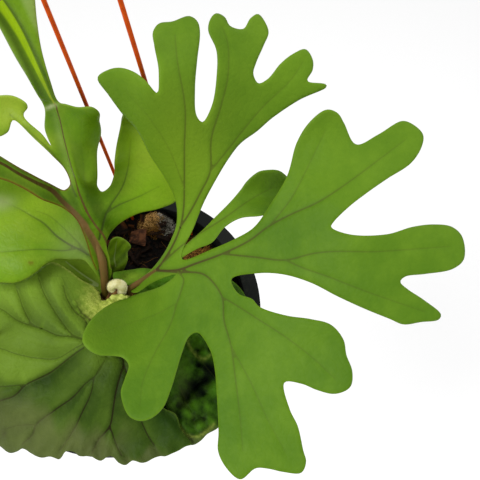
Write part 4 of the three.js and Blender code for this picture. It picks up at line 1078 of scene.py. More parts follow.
DRY_RIMS = [
    [(36.7, -17.4), (37.4, -21.6), (39.6, -25.8), (42.7, -28.8), (45.7, -30.2), (48.7, -28.1)],
    [(25.7, -53.2), (30.7, -56.5), (33.8, -60.6), (37.8, -65.1), (42.7, -66.4), (47.4, -64),
     (51.1, -60.3)]]


def rims(x, y):
    points = np.column_stack([x, y])
    gaps = [to_line(points, smooth(line, 0.6))[0] for line in DRY_RIMS]
    return 0.36 * np.exp(-((np.minimum(*gaps) / 0.65) ** 2))


def heaps(x, y, spots):
    return sum(tall * np.exp(-(((x - a) ** 2 + (y - b) ** 2) / wide ** 2))
               for a, b, tall, wide in spots)


def crumpled(x, y, nearest, margin, shade):
    pillows = 1.6 * np.abs(np.sin(x * 0.24 + 0.6 * np.sin(y * 0.23)))
    pillows = pillows * np.abs(np.cos(y * 0.21 + 0.7 * np.sin(x * 0.17)))
    small = 0.7 * np.sin(x * 0.9 + np.sin(y * 0.7)) * np.sin(y * 0.8)
    crease = -0.9 * np.exp(-((nearest / 1.6) ** 2))
    relief = pillows - 0.8 + small + crease + heaps(x, y, RIDGES) - heaps(x, y, FOLDS)
    return relief * step_up(0, 7, margin)


def withered(x, y):
    line = np.array(DRY_RIMS[1])
    outside = step_up(0, 1.5, np.interp(x, line[:, 0], line[:, 1]) - y) * step_up(34, 38, x)
    return np.maximum(0.8 * outside, 0.4 * spot(x, y, 35, -38, 3, 10))


# Painted light and shade: lighter at the top and on the ridges, darker in the folds.
def right_shield_tone_and_shade(x, y):
    lit = 0.36 + 0.5 * step_up(0, 12, y) * step_up(56, 30, x) + 0.34 * heaps(x, y, RIDGES)
    patches = 0.2 * np.sin(x * 0.7 + 1.5 * np.sin(y * 0.45)) * np.cos(y * 0.62 + x * 0.1)
    patches = patches + 0.14 * np.sin(x * 1.6 + 2 * np.sin(y * 1.1)) * np.sin(y * 1.7 - 0.4 * x)
    return np.clip(lit + patches - 0.35 * heaps(x, y, FOLDS), 0, 1)


# Painted shade in the folds.
def fold_shade(x, y):
    return np.clip(0.5 * heaps(x, y, FOLDS) - 0.1, 0, 1)

# %% [markdown]
# With the plans, veins and rules in place, each shield is one call of the blade. The
# third strand rises through the large shield, so its blade leaves out the triangles in a
# round hole there. The right one's felt is only the dry rims of its folds.

# %% Build the four shields
def shield(side, shape, finish, slot):
    piece = mesh_object(f"shield_frond_{side}_blade", *shape)
    finish_piece(piece, finish, slot, f"shield_frond_{side}")


def alike(lines, half, dark):
    """Veins that all have one look."""
    return {str(i): vein(line, half, dark) for i, line in enumerate(lines)}


turn = math.radians(STRAND_TURNS[2])
HOLE_REACH, HOLE_RADIUS = 60.7, 1.9
strand_hole = np.array([HOLE_REACH * math.sin(turn), HOLE_REACH * math.cos(turn), HOLE_RADIUS])
large_blade = blade(LARGE_SHIELD, large_veins, 1.0, pleated, {
    "tone": large_tone_and_shade, "felt": felted, "old": dried, "dim": torn}, strand_hole)
shield("large", large_blade, shield_green, "shield_green")

right_blade = blade(RIGHT_SHIELD, alike(right_fan, (0.4, 0.25), (0.2, 0.08)), 1.1, crumpled, {
    "tone": right_shield_tone_and_shade, "dim": fold_shade, "felt": rims, "old": withered,
    # The glow near the crown is painted light.
    "glow": lambda x, y: 0.3 * spot(x, y, 6, 14, 8, 4)})
shield("right", right_blade, old_shield_green, "old_shield_green")

left_lines = [[(-13, 11), (-23, 17), (-31, 23)],
              [(-13, 10), (-25, 12), (-39, 19), (-52, 23)],
              [(-15, 6), (-32, 4), (-49, 3)]]
left_blade = blade(
    LEFT_SHIELD, alike(left_lines, (0.45, 0.3), (0.6, 0.35)), 1.2,
    lambda x, y, nearest, *rest: -0.6 * np.exp(-((nearest / 2) ** 2)),
    {"tone": lambda x, y: 1.0 + 0.2 * np.sin(x * 0.4) * np.cos(y * 0.5),
     # The even glow is painted light that lifts the shield's green.
     "glow": lambda x, y: 0.1 + 0 * x})
shield("left", left_blade, small_shield_green, "old_shield_green")


def ribs(x, y):
    return np.sin(x * 1.1 - 0.9 * y)


back_blade = blade(
    BACK_SHIELD, alike([[(-7, 7), (-7, 15), (-5, 22)]], (0.3, 0.2), (0.5, 0.2)), 0.6,
    lambda x, y, nearest, margin, shade: 0.4 * ribs(x, y) * step_up(0, 2, margin),
    # The tone paints light on the ribs' crests and a highlight along the top edge.
    {"tone": lambda x, y: 0.6 + 0.2 * ribs(x, y) + 0.5 * step_up(15, 19, y - 0.5 * x)})
shield("back", back_blade, small_shield_green, "shield_green")

# %% [markdown]
# ## Things in their hundreds
#
# Felt, scales, bark and fibres are many copies of a small shape, spread over a surface.
# Copying them in Python is slow and fixes them for good. Geometry Nodes spread them by
# rule instead, with named inputs for how many and how large, and one seed, so the same
# things fall in the same places every time. The helper below writes such a tree: points
# on the faces of a bed, a copy at each, turned out of the surface, then made real.

# %% A tree of nodes that scatters a shape over a bed
class GrowthTree(NodeTree):
    """A Geometry Nodes tree with named inputs, which is run on a piece."""

    def __init__(self, name, inputs):
        self.tree = bpy.data.node_groups.new(name, "GeometryNodeTree")
        face = self.tree.interface
        face.new_socket("Geometry", in_out="INPUT", socket_type="NodeSocketGeometry")
        face.new_socket("Geometry", in_out="OUTPUT", socket_type="NodeSocketGeometry")
        self.keys = {key: face.new_socket(key, in_out="INPUT", socket_type=kind).identifier
                     for key, kind in inputs.items()}
        self.start = self.tree.nodes.new("NodeGroupInput").outputs

    def end(self, geometry, material):
        real = self.add("GeometryNodeRealizeInstances", None, {"Geometry": geometry})
        painted = self.add("GeometryNodeSetMaterial", None, {"Geometry": real, "Material": material})
        self.add("NodeGroupOutput", None, {"Geometry": painted})

    def grow(self, piece, values):
        """Runs the tree on a piece and leaves the result as its plain mesh."""
        modifier = piece.modifiers.new(self.tree.name, "NODES")
        modifier.node_group = self.tree
        for key, value in values.items():
            modifier[self.keys[key]] = value
        return baked(piece)


def scatter_tree(name, shape, material):
    """Copies of one small mesh on a bed: how many, how large, how far tipped, how deep."""
    t = GrowthTree(name, {
        "Per Square Metre": "NodeSocketFloat", "Seed": "NodeSocketInt",
        "Smallest": "NodeSocketFloat", "Largest": "NodeSocketFloat",
        "Tip": "NodeSocketFloat", "Sink": "NodeSocketFloat"})
    start = t.start
    spots = t.add("GeometryNodeDistributePointsOnFaces", None, {
        "Mesh": start["Geometry"], "Density": start["Per Square Metre"], "Seed": start["Seed"]})
    facing = spots.node.outputs["Rotation"]
    down = t.add("ShaderNodeVectorMath", {"operation": "SCALE"}, {
        0: spots.node.outputs["Normal"], "Scale": start["Sink"]})
    spots = t.add("GeometryNodeSetPosition", None, {"Geometry": spots, "Offset": down})
    tipped = t.add("FunctionNodeRandomValue", {"data_type": "FLOAT_VECTOR"}, {
        "Min": (-1, -1, -math.pi), "Max": (1, 1, math.pi), "Seed": start["Seed"]})
    tipped = t.add("ShaderNodeVectorMath", {"operation": "MULTIPLY"}, {
        0: tipped, 1: t.add("ShaderNodeCombineXYZ", None, {
            "X": start["Tip"], "Y": start["Tip"], "Z": 1.0})})
    turned = t.add("FunctionNodeRotateRotation", {"rotation_space": "LOCAL"}, {
        "Rotation": facing, "Rotate By": tipped})
    size = t.add("FunctionNodeRandomValue", {"data_type": "FLOAT_VECTOR"}, {"Seed": start["Seed"]})
    ends = [t.add("ShaderNodeCombineXYZ", None, dict.fromkeys("XYZ", end))
            for end in (0.0, 1.0, start["Smallest"], start["Largest"])]
    size = t.add("ShaderNodeMapRange", {"data_type": "FLOAT_VECTOR"},
                  {"Vector": size, 7: ends[0], 8: ends[1], 9: ends[2], 10: ends[3]}, output=1)
    copy = t.add("GeometryNodeObjectInfo", {"transform_space": "ORIGINAL"},
                  {"Object": shape}, output="Geometry")
    copies = t.add("GeometryNodeInstanceOnPoints", None, {
        "Points": spots, "Instance": copy, "Rotation": turned, "Scale": size})
    t.end(copies, material)
    return t


def pattern(name, points, faces):
    """A small mesh in metres that is only there to be copied."""
    mesh = bpy.data.meshes.new(name)
    mesh.from_pydata([[c * MM for c in p] for p in points], [], faces)
    return bpy.data.objects.new(name, mesh)


def scattered(name, bed, tree, amounts, slot):
    """A new piece: the tree's copies over a bed given as (points, faces, values)."""
    count, seed, smallest, largest, tip, sink = amounts
    piece = tree.grow(mesh_object(name, *bed), {
        "Per Square Metre": float(count), "Seed": seed, "Smallest": smallest,
        "Largest": largest, "Tip": tip, "Sink": sink * MM})
    finish_piece(piece, None, slot)

# %% [markdown]
# ## Bud and rhizome
#
# The next frond is still a bud: a thick hook, cream-white with felt. The felt is real
# hairs, each a three-sided spike, because it is the felt's outline that tells it from
# wax. The rhizome below it is a knob under brown papery scales.

# %% Finishes of felt and scales
f = Finish("felt_cream")
tint = f.noise(300, 3).between(0.3, 0.7)
felt = f.mix(tint, colour(206, 200, 140), colour(236, 232, 190))
felt_cream = f.surface(felt, 0.85, f.bump(f.noise(2600, 3), 0.5, 0.3), gloss=0.2)

f = Finish("scale_brown")
tint = f.noise(240, 3, 0.6)
scaly = f.mix(tint.between(0.35, 0.65), colour(70, 44, 20), colour(150, 108, 52))
scale_brown = f.surface(scaly, 0.8, f.bump(f.noise(900, 3), 0.5, 0.4), gloss=0.2)

# %% [markdown]
# The bud is a tube along a curl, thickest where it turns over. The same tube is the bed
# of its hairs, so they stand on its own skin. An amount is the number per square metre,
# the seed, the smallest and largest size, how far the copies tip, and how deep they sink.

# %% Grow the bud and its felt
BUD_CURL = [
    (0.4, 4, 5), (1.1, 4.2, 11), (2.8, 4.2, 16.5), (3, 4.8, 19.6), (1, 5, 21.6),
    (-1.5, 4.2, 21.6), (-2.4, 3.2, 20), (-2, 2.8, 18.6)]
BUD_RADII = [1.5, 1.5, 1.7, 2.1, 2.3, 2.3, 2.1, 1.2]
hair = pattern("hair", [(0.035, 0, 0), (-0.02, 0.03, 0), (-0.02, -0.03, 0), (0.1, 0, 0.8)],
               [[0, 1, 3], [1, 2, 3], [2, 0, 3], [0, 2, 1]])
felt_tree = scatter_tree("felt_hairs", hair, felt_cream)
bud_shape = tube(BUD_CURL, BUD_RADII, step=0.35, sides=20)
bud = mesh_object("new_frond_bud_body", *bud_shape)
finish_piece(bud, felt_cream, "bud_felt", "new_frond_bud")
scattered("new_frond_bud_felt", bud_shape, felt_tree, (2.2e7, 3, 0.5, 1.0, 0.7, 0.0), "bud_felt")

# %% [markdown]
# The large shield's base wears the same felt round the bud. Its bed is cut out of the
# shield's own faces, those that the finish paints pale, so the hairs stand on them.

# %% Felt on the shield's base
f = Finish("felt_green")
tuft = f.mix(f.noise(500, 3).between(0.3, 0.7), colour(152, 166, 70), colour(196, 204, 110))
felt_green = f.surface(tuft, 0.85, gloss=0.15)
points, faces, values = large_blade
furry = [face for face in faces if len(face) == 3 and all(
    values["felt"][corner] > 0.45 and values["under"][corner] == 0 for corner in face)]
corners = sorted({corner for face in furry for corner in face})
index = {corner: i for i, corner in enumerate(corners)}
felt_bed = (points[corners], [[index[corner] for corner in face] for face in furry], {})
base_tree = scatter_tree("shield_felt_hairs", hair, felt_green)
scattered("shield_frond_large_felt", felt_bed, base_tree,
          (1.6e7, 7, 0.25, 0.55, 0.9, 0.0), "shield_green")

# %% [markdown]
# A knob is a ball with broad lumps, and serves twice. A small one is the felted lobe of
# the shield beside the bud. The large one is the rhizome, under its papery scales.

# %% The lobe and the rhizome
def knob(centre, size, lump, rings=28, sides=40):
    """(points, faces, values) of a lumpy ball."""
    points = []
    for i in range(1, rings):
        for k in range(sides):
            up, turn = math.pi * i / rings, 2 * math.pi * k / sides
            x, y, z = math.sin(up) * math.cos(turn), math.sin(up) * math.sin(turn), math.cos(up)
            swell = 0.5 + 0.5 * math.sin(7 * x + 3) * math.cos(6 * y) * math.sin(5 * z + 1)
            points.append(np.array(centre) + np.array([x, y, z]) * size * (1 - lump * swell))
    faces = ring_faces(rings - 1, sides, outward=True)
    top, bottom = len(points), len(points) + 1
    points += [np.array(centre) + [0, 0, size[2]], np.array(centre) - [0, 0, size[2]]]
    for k in range(sides):
        faces.append([top, k, (k + 1) % sides])
        faces.append([bottom, (rings - 2) * sides + (k + 1) % sides, (rings - 2) * sides + k])
    return points, faces, {}


lobe_shape = knob((1.5, -0.6, 14.6), np.array([6.4, 2.6, 4.6]), 0.3)
felt_lobe = mesh_object("shield_frond_large_lobe", *lobe_shape)
finish_piece(felt_lobe, felt_green, "shield_green")
scattered("shield_frond_large_lobe_felt", lobe_shape, base_tree,
          (1.8e7, 8, 0.35, 0.8, 0.8, 0.0), "shield_green")

rhizome_shape = knob((-1, 2, 1.6), np.array([11.6, 8.6, 10.4]), 0.08)
rhizome = mesh_object("rhizome_body", *rhizome_shape)
finish_piece(rhizome, scale_brown, "rhizome_scales", "rhizome")
scale = pattern(
    "scale", [(0, 0, -0.1), (0.35, 1.2, 0.25), (0, 3.2, 0.1), (-0.35, 1.2, 0.25), (0, 1.4, 0.05)],
    [[0, 1, 3], [1, 2, 3], [0, 4, 1], [1, 4, 2], [2, 4, 3], [3, 4, 0]])
scattered("rhizome_scales", rhizome_shape, scatter_tree("papery_scales", scale, scale_brown),
          (9e5, 5, 0.5, 1.0, 0.5, -0.15), "rhizome_scales")

# %% [markdown]
# ## The growing mix
#
# The pot is filled with a coarse mix: bark chips from the size of a fingernail down,
# rusty coir, golden fibres and grey moss, nearly black where it is wet. The bed is one
# lumpy surface, and the rest is scattered on it. At the back a heap of coir and moss
# rises against the pot's wall. Everything scattered stops short of that wall, so that
# nothing pokes through it.

# %% The bed
MIX_RADIUS = 66.15
MIX_EDGE = 66
HEAP_EDGE = 62.5


def inner_wall(depth):
    """The radius of the pot's inside, so far below its rim."""
    mouth = RIM_RADIUS - FLANGE_WIDTH
    if depth <= COLLAR_HEIGHT:
        return mouth
    top = mouth - WALL
    slope = (top - FOOT_RADIUS + WALL) / (POT_HEIGHT - COLLAR_HEIGHT)
    return top - slope * (depth - COLLAR_HEIGHT)


def mix_height(x, y):
    inward = np.clip(1 - (np.hypot(x, y) / MIX_RADIUS) ** 4, 0, 1)
    lumps = 1.1 * np.sin(x * 0.31 + 1) * np.cos(y * 0.27) + 0.6 * np.sin(x * 0.7 - y * 0.6)
    small = 0.45 * np.sin(x * 1.7 + 2 * np.sin(y * 0.9)) * np.cos(y * 1.9)
    small = small + 0.25 * np.sin(x * 3.1) * np.sin(y * 2.7)
    mound = 12 * np.exp(-((np.hypot(x + 1, y - 2) / 30) ** 2))
    return -11 + (lumps + small + mound) * inward + 9.4 * spot(x, y, 15, 62.5, 11, 8)


def mix_bed(edge=MIX_EDGE, rings=70, sides=150, closed=True):
    points = [[0, 0, float(mix_height(0.0, 0.0))]]
    for i in range(1, rings + 1):
        ring = circle(edge * i / rings, 0, sides)
        points += [[x, y, float(mix_height(x, y))] for x, y, _ in ring]
    for depth in (40, 70, 100) if closed else ():
        points += circle(inner_wall(depth) - 0.4, -depth, sides)
    faces = [[0, 1 + k, 1 + (k + 1) % sides] for k in range(sides)]
    faces += ring_faces(len(points) // sides, sides, 1, outward=True)
    if closed:
        faces.append(list(range(len(points) - sides, len(points)))[::-1])
    return points, faces, {}


f = Finish("wet_mix")
crumb = f.noise(300, 5, 0.7)
brown_patch = f.noise(60, 3, 0.6).between(0.55, 0.75)
soil = f.mix(crumb.between(0.4, 0.75), colour(3, 2, 1), colour(20, 12, 7))
soil = f.mix(brown_patch * 0.3, soil, colour(50, 29, 12))
crumbs = f.bump(crumb + f.noise(900, 4) * 0.5, 0.9, 1.2)
wet_mix = f.surface(soil, 0.55 + crumb * 0.4, crumbs, gloss=0.08)

f = Finish("bark")
grain = f.noise(200, 4, 0.6, 0.6, (1, 1, 5))
chip_colour = f.mix(grain.between(0.35, 0.65), colour(4, 3, 1), colour(30, 16, 7))
chip_colour = f.mix(f.noise(40, 2).between(0.52, 0.6) * 0.6, chip_colour, colour(84, 48, 18))
bark = f.surface(chip_colour, 0.75, f.bump(grain, 0.8, 0.8), gloss=0.08)

f = Finish("bark_red")
grain = f.noise(200, 4, 0.6, 0.6, (1, 1, 5)).between(0.35, 0.65)
red_chip = f.mix(grain, colour(36, 19, 9), colour(94, 56, 32))
bark_red = f.surface(red_chip, 0.75, f.bump(grain, 0.8, 0.8), gloss=0.15)


def fibre_finish(name, dark, light, scale=90, spread=0.15, roughness=0.85):
    f = Finish(name)
    tint = f.noise(scale, 3).between(0.5 - spread, 0.5 + spread)
    return f.surface(f.mix(tint, colour(*dark), colour(*light)), roughness, gloss=0.1)


husk_orange = fibre_finish("husk_orange", (98, 60, 16), (176, 124, 56))
coir_brown = fibre_finish("coir_brown", (60, 30, 8), (134, 88, 30))
coir_gold = fibre_finish("coir_gold", (120, 82, 30), (214, 168, 98))
moss_grey = fibre_finish("moss_grey", (70, 66, 52), (176, 172, 160), 200, 0.2, 0.9)

mix_body = mesh_object("growing_mix_bed", *mix_bed())
finish_piece(mix_body, wet_mix, "bark_mix", "growing_mix")

# %% [markdown]
# A chip is a slab with broken corners and a fibre is a thin bowed strip. Both are only
# a few faces, since there are hundreds. Fibres and chips lie nearly flat, so their tip
# is small. Golden fibres, grey moss and a husk of coir lie in heaps of their own, each
# scattered on a low patch. The largest pieces of bark are set one by one.

# %% Shapes of chips and fibres
def slab_chip(seed):
    draw = random.Random(seed)
    long, wide, thick = 4.4, 2.4, 0.9
    ring = [(-long, -wide), (-long * 0.3, -wide * 1.2), (long, -wide * 0.7),
            (long * 1.15, wide * 0.3), (long * 0.4, wide * 1.1), (-long * 0.9, wide)]
    ring = [(x * draw.uniform(0.8, 1.15), y * draw.uniform(0.8, 1.15)) for x, y in ring]
    n = len(ring)
    points = [(x, y, thick + draw.uniform(-0.3, 0.5)) for x, y in ring]
    points += [(x * 0.85, y * 0.85, -thick) for x, y in ring]
    faces = [list(range(n)), [n + k for k in range(n)][::-1]]
    faces += [[k, k + n, (k + 1) % n + n, (k + 1) % n] for k in range(n)]
    return points, faces


def fibre(name, length, width, bow, n=6):
    points = []
    for i in range(n + 1):
        t = i / n - 0.5
        x, y, z = t * length, 0.6 * bow * math.sin(5 * t), bow * (0.25 - t * t) * 4
        points += [(x, y, z + width), (x, y + width, z), (x, y - width, z)]
    ends = [[0, 2, 1], [3 * n, 3 * n + 1, 3 * n + 2]]
    return pattern(name, points, ring_faces(n + 1, 3) + ends)


def patch(x, y, reach, height, rings=7, sides=28):
    """(points, faces, values) of a low heap on the mix."""
    points = []
    for i in range(rings + 1):
        for k in range(sides if i else 1):
            turn = 2 * math.pi * k / sides
            r = reach * i / rings * (1 + 0.15 * math.sin(3 * turn + x))
            a, b = x + r * math.cos(turn), y + r * math.sin(turn)
            a, b = np.array([a, b]) * min(1, HEAP_EDGE / math.hypot(a, b))
            lump = 1 - (i / rings) ** 2 + 0.18 * math.sin(5 * turn + 2 * i)
            points.append((a, b, float(mix_height(a, b)) + height * lump - 0.3))
    faces = [[0, 1 + k, 1 + (k + 1) % sides] for k in range(sides)]
    return points, faces + ring_faces(rings, sides, 1, outward=True), {}

# %% [markdown]
# Each row is one piece: its name, its bed, the shape that is copied, its finish and its
# amounts. The seeds differ, or pieces on one bed would have their copies in one place.

# %% Scatter the loose pieces
inner_bed, outer_bed = mix_bed(60, 60, closed=False), mix_bed(63.5, closed=False)
chip_a, chip_b = pattern("chip_a", *slab_chip(1)), pattern("chip_b", *slab_chip(2))
coir, moss = fibre("coir", 8, 0.1, 1.2), fibre("moss", 3.4, 0.16, 0.9)
loose = [
    ("growing_mix_chips_large", inner_bed, chip_a, bark, (7e3, 11, 0.5, 1.2, 0.4, 0.9)),
    ("growing_mix_chips_small", outer_bed, chip_b, bark, (3e4, 12, 0.15, 0.5, 0.6, 0.2)),
    ("growing_mix_coir", inner_bed, coir, coir_brown, (1.2e4, 13, 0.4, 1.2, 0.5, 0.3)),
    ("growing_mix_husk", patch(38, 41, 10.5, 2.2), coir, husk_orange,
     (2.6e6, 15, 0.2, 0.55, 0.9, 0.2)),
    ("growing_mix_gold", patch(11, 58, 8, 1.4), coir, coir_gold,
     (2.4e6, 16, 0.25, 0.7, 0.6, 0.2)),
    ("growing_mix_moss", patch(19.5, 59, 7, 2.0), moss, moss_grey,
     (2e6, 14, 0.3, 0.9, 1.2, 0.1)),
    ("growing_mix_moss_low", patch(22, 53, 4.5, 1.0), moss, moss_grey,
     (6e5, 18, 0.3, 0.8, 1.2, 0.1)),
    ("growing_mix_crumbs", patch(0, 37, 6, 1.0), coir, coir_brown,
     (5e5, 17, 0.2, 0.5, 0.8, 0.1)),
    ("growing_mix_crumbs_back", patch(-6, 53, 6, 0.8), coir, coir_brown,
     (5e5, 19, 0.15, 0.4, 0.8, 0.1)),
]
for name, bed, shape, look, amounts in loose:
    scattered(name, bed, scatter_tree(name + "_tree", shape, look), amounts, "bark_mix")

# %% [markdown]
# The largest bark is slabs too, each set by its place, turn, size and tip. Bark breaks
# in flat faces, so these blocks are not shaded smooth. One of them is redder.

# %% Lay the largest bark
BARK = [
    (-8, 55, 100, 0.8, 0.3), (24, 50, 60, 0.7, -0.3), (30, 55, 140, 0.8, 0.2),
    (-30, 45, 20, 1.1, 0.2), (-45, 25, 70, 1.0, -0.2), (52, 20, 10, 0.9, 0.3),
    (40, 24, 120, 0.8, -0.2), (-50, -8, 40, 1.0, 0.2), (20, 30, 160, 0.9, 0.2),
    (-15, 35, 45, 0.9, 0.3), (56, 2, 80, 0.9, 0.1)]


def bark_block(seed, x, y, turned_by, size, tip):
    shape, faces = slab_chip(seed)
    block = np.array(shape) * (1.05, 1.7, 1.9) * size
    c, s = math.cos(math.radians(turned_by)), math.sin(math.radians(turned_by))
    block = np.c_[block[:, 0] * c - block[:, 1] * s, block[:, 0] * s + block[:, 1] * c,
                  block[:, 2] + tip * block[:, 0]]
    return block + [x, y, float(mix_height(x, y)) + 1.2], faces, {}


laid = [bark_block(20 + i, *lie) for i, lie in enumerate(BARK)]
blocks = join("growing_mix_bark_blocks", *laid)
red_block = join("growing_mix_red_block", bark_block(40, 3.5, 48, 80, 1.12, 0.1))
for piece, look in ((blocks, bark), (red_block, bark_red)):
    piece.data.polygons.foreach_set("use_smooth", [False] * len(piece.data.polygons))
    finish_piece(piece, look, "bark_mix")

# %% [markdown]
# ## The pot
#
# The pot is one moulded shell, turned round its axis: a flat flange with a turned-down
# lip, an upright collar with a step under it, a tapering wall and a foot ring. A lathe
# profile gives all of that, and small extra points on the profile round its edges. The
# drain holes and the strands' holes are cut afterwards, with a Boolean.

# %% Turn the pot
def rounded(profile, radius, steps=4):
    """The closed profile with each corner rounded to at most the radius."""
    out = []
    for i, corner in enumerate(profile):
        before, after = np.array(profile[i - 1]), np.array(profile[(i + 1) % len(profile)])
        here = np.array(corner, float)
        if here[0] < 1e-6:
            out.append(tuple(here))
            continue
        back, ahead = before - here, after - here
        cut = min(radius, np.linalg.norm(back) * 0.4, np.linalg.norm(ahead) * 0.4)
        a = here + back / np.linalg.norm(back) * cut
        b = here + ahead / np.linalg.norm(ahead) * cut
        for k in range(steps + 1):
            t = k / steps
            out.append(tuple((1 - t) ** 2 * a + 2 * t * (1 - t) * here + t * t * b))
    return out


def turned(profile, sides):
    """(points, faces, values) of a closed profile that starts and ends on the axis."""
    inner = profile[1:-1]
    points = [[0, 0, profile[0][1]], [0, 0, profile[-1][1]]]
    for r, z in inner:
        points += circle(r, z, sides)
    last = 2 + (len(inner) - 1) * sides
    faces = []
    for k in range(sides):
        j = (k + 1) % sides
        faces.append([0, 2 + j, 2 + k])
        faces.append([1, last + k, last + j])
        for first in range(2, last, sides):
            after = first + sides
            faces.append([first + k, first + j, after + j, after + k])
    return points, faces, {}


FLOOR = 100.4
pot_profile = [
    (0, -FLOOR - WALL), (46, -FLOOR - WALL), (46, -POT_HEIGHT), (FOOT_RADIUS, -POT_HEIGHT),
    (66.5, -27.2), (68.1, -25.6), (68.1, -2.4), (73.4, -2.4), (73.4, -5), (75, -5), (75, 0),
    (66.5, 0), (66.5, -25), (64.9, -26.6), (inner_wall(FLOOR), -FLOOR), (0, -FLOOR)]
pot = mesh_object("pot_shell", *turned(rounded(pot_profile, 0.7), 160))

# %% [markdown]
# The holes are cylinders, joined into one cutter. It is taken away from the pot and then
# deleted. The edges that it leaves are marked sharp, and so are the profile's corners.

# %% Cut the pot's holes
DRAIN_RING, DRAIN_RADIUS = 33, 4
SOCKET_REACH, SOCKET_PLAY = 67.3, 0.7


def bore(place, axis, radius, length, sides=24):
    """A cylinder to cut a hole with, in millimetres from the middle of the rim."""
    axis = np.array(axis, float) / np.linalg.norm(axis)
    ends = np.array([np.array(place) - axis * length / 2, np.array(place) + axis * length / 2])
    side = np.cross(axis, [0.3, 0.2, 0.9])
    side /= np.linalg.norm(side)
    across = np.cross(axis, side)
    points = [end + radius * (side * x + across * y)
              for end in ends for x, y, _ in circle(1, 0, sides)]
    faces = ring_faces(2, sides)
    faces += [list(range(sides))[::-1], [sides + k for k in range(sides)]]
    return points, faces, {}


drains = [bore(place, (0, 0, 1), DRAIN_RADIUS, 12) for place in circle(DRAIN_RING, -FLOOR, 6)]
sockets = []
for degrees in STRAND_TURNS:
    out = np.array([math.sin(math.radians(degrees)), math.cos(math.radians(degrees)), 0])
    middle = out * SOCKET_REACH - [0, 0, STRAND_DEPTH]
    sockets.append(bore(middle, out, WIRE / 2 + SOCKET_PLAY, 8))
cutter = join("pot_holes", *drains, *sockets)
cutter.data.validate()
modifier = pot.modifiers.new("holes", "BOOLEAN")
modifier.object = cutter
modifier.solver = "EXACT"
baked(pot)
bpy.data.objects.remove(cutter)
pot.data.set_sharp_from_angle(angle=math.radians(40))

# %% [markdown]
# Cheap black pots are not quite black. Moulded polypropylene has a fine orange-peel
# skin with a dull sheen, pale scuffs, and a film of dried lime and dust.

# %% The pot's finish
f = Finish("pot_black")
peel = f.noise(1300, 2)
scuff = f.noise(90, 5, 0.7, 0.0, (1, 1, 0.2)).between(0.58, 0.75)
film = f.noise(24, 4, 0.6).between(0.4, 0.75)
black = f.mix(film * 0.5, colour(16, 19, 18), colour(40, 43, 37))
black = f.mix(scuff * 0.2, black, colour(80, 80, 70))
pot_black = f.surface(black, 0.5 + film * 0.2 + peel * 0.1, f.bump(peel, 0.25, 0.3), gloss=0.12)
finish_piece(pot, pot_black, "pot_plastic", "pot")

# %% [markdown]
# ## The hanger
#
# The three strands and the hook are wire with an orange-brown coating. Each is a path
# first. A tree of nodes then carries a circle along the path, with the wire's radius as
# its input, so all wires of one gauge are made by one rule. Low down, the strands lean
# straight in; near the sleeve they bend together and stand upright in its bores.

# %% Paths of the wires
SLEEVE_TOP, SLEEVE_LENGTH = -58, 16
MOUTH = HANG + SLEEVE_TOP - SLEEVE_LENGTH
MEET = MOUTH - 9
INSET = RIM_RADIUS - FLANGE_WIDTH - WIRE / 2 - 1.4
AIM, SPREAD = 690, 2.6
SLEEVE_TURNS = [-30, 90, 210]
HOOK_BEND, HOOK_WIRE = 13, 1.5


def around(turn, radius, height):
    angle = math.radians(turn)
    return np.array([radius * math.sin(angle), radius * math.cos(angle), height])


def strand_path(turn, sleeve_turn):
    out, low = RIM_RADIUS - FLANGE_WIDTH + WALL + WIRE / 2 + 0.35, -STRAND_DEPTH
    foot = [(out, low + 9), (out, low + 3), (out - 0.3, low + 0.9), (out - 1.4, low),
            (INSET + 1.9, low), (INSET + 0.6, low + 0.6)]
    points = [around(turn, radius, height) for radius, height in foot]
    straight = (MEET - low) / (AIM - low)
    for i in range(13):
        height = low + 4 + (MEET - low - 4) * i / 12
        climb = (height - low) / (MEET - low)
        radius = INSET * (1 - straight * climb - (1 - straight) * climb ** 7)
        points.append(around(turn, radius, height) + around(sleeve_turn, SPREAD * (i / 12) ** 7, 0))
    points.append(around(sleeve_turn, SPREAD, MOUTH - 4))
    points.append(around(sleeve_turn, SPREAD, MOUTH + SLEEVE_LENGTH * 0.6))
    return smooth(points, 1.5)


def hook_path():
    bend, centre = HOOK_BEND + HOOK_WIRE, HANG - HOOK_BEND
    points = [(bend * math.cos(math.radians(a)), 0, centre + bend * math.sin(math.radians(a)))
              for a in range(200, -61, -20)]
    points += [(1.5, 0, centre - bend - 3), (0, 0, centre - bend - 9), (0, 0, HANG + SLEEVE_TOP - 4)]
    return smooth(points, 0.8)

# %% [markdown]
# The coating is a little darker where it is worn, with small dark chips. The tree turns
# a path of edges into a curve, and the circle that it carries along closes at both ends.

# %% The coating, and the tree that makes a wire
f = Finish("wire_coating")
wear = f.noise(120, 4, 0.6)
coat = f.mix(wear.between(0.35, 0.7), colour(204, 78, 4), colour(176, 60, 2))
coat = f.mix(f.noise(700, 3).between(0.62, 0.72) * 0.4, coat, colour(84, 30, 4))
wire_coating = f.surface(coat, 0.45 + wear * 0.2, f.bump(f.noise(900, 2), 0.15, 0.2), gloss=0.12)

wire_tree = GrowthTree(
    "wire_along_a_path", {"Wire Radius": "NodeSocketFloat", "Sides": "NodeSocketInt"})
path = wire_tree.add("GeometryNodeMeshToCurve", None, {"Mesh": wire_tree.start["Geometry"]})
section = wire_tree.add("GeometryNodeCurvePrimitiveCircle", {"mode": "RADIUS"}, {
    "Resolution": wire_tree.start["Sides"], "Radius": wire_tree.start["Wire Radius"]})
wire = wire_tree.add("GeometryNodeCurveToMesh", None, {
    "Curve": path, "Profile Curve": section, "Fill Caps": True})
wire_tree.end(wire, wire_coating)


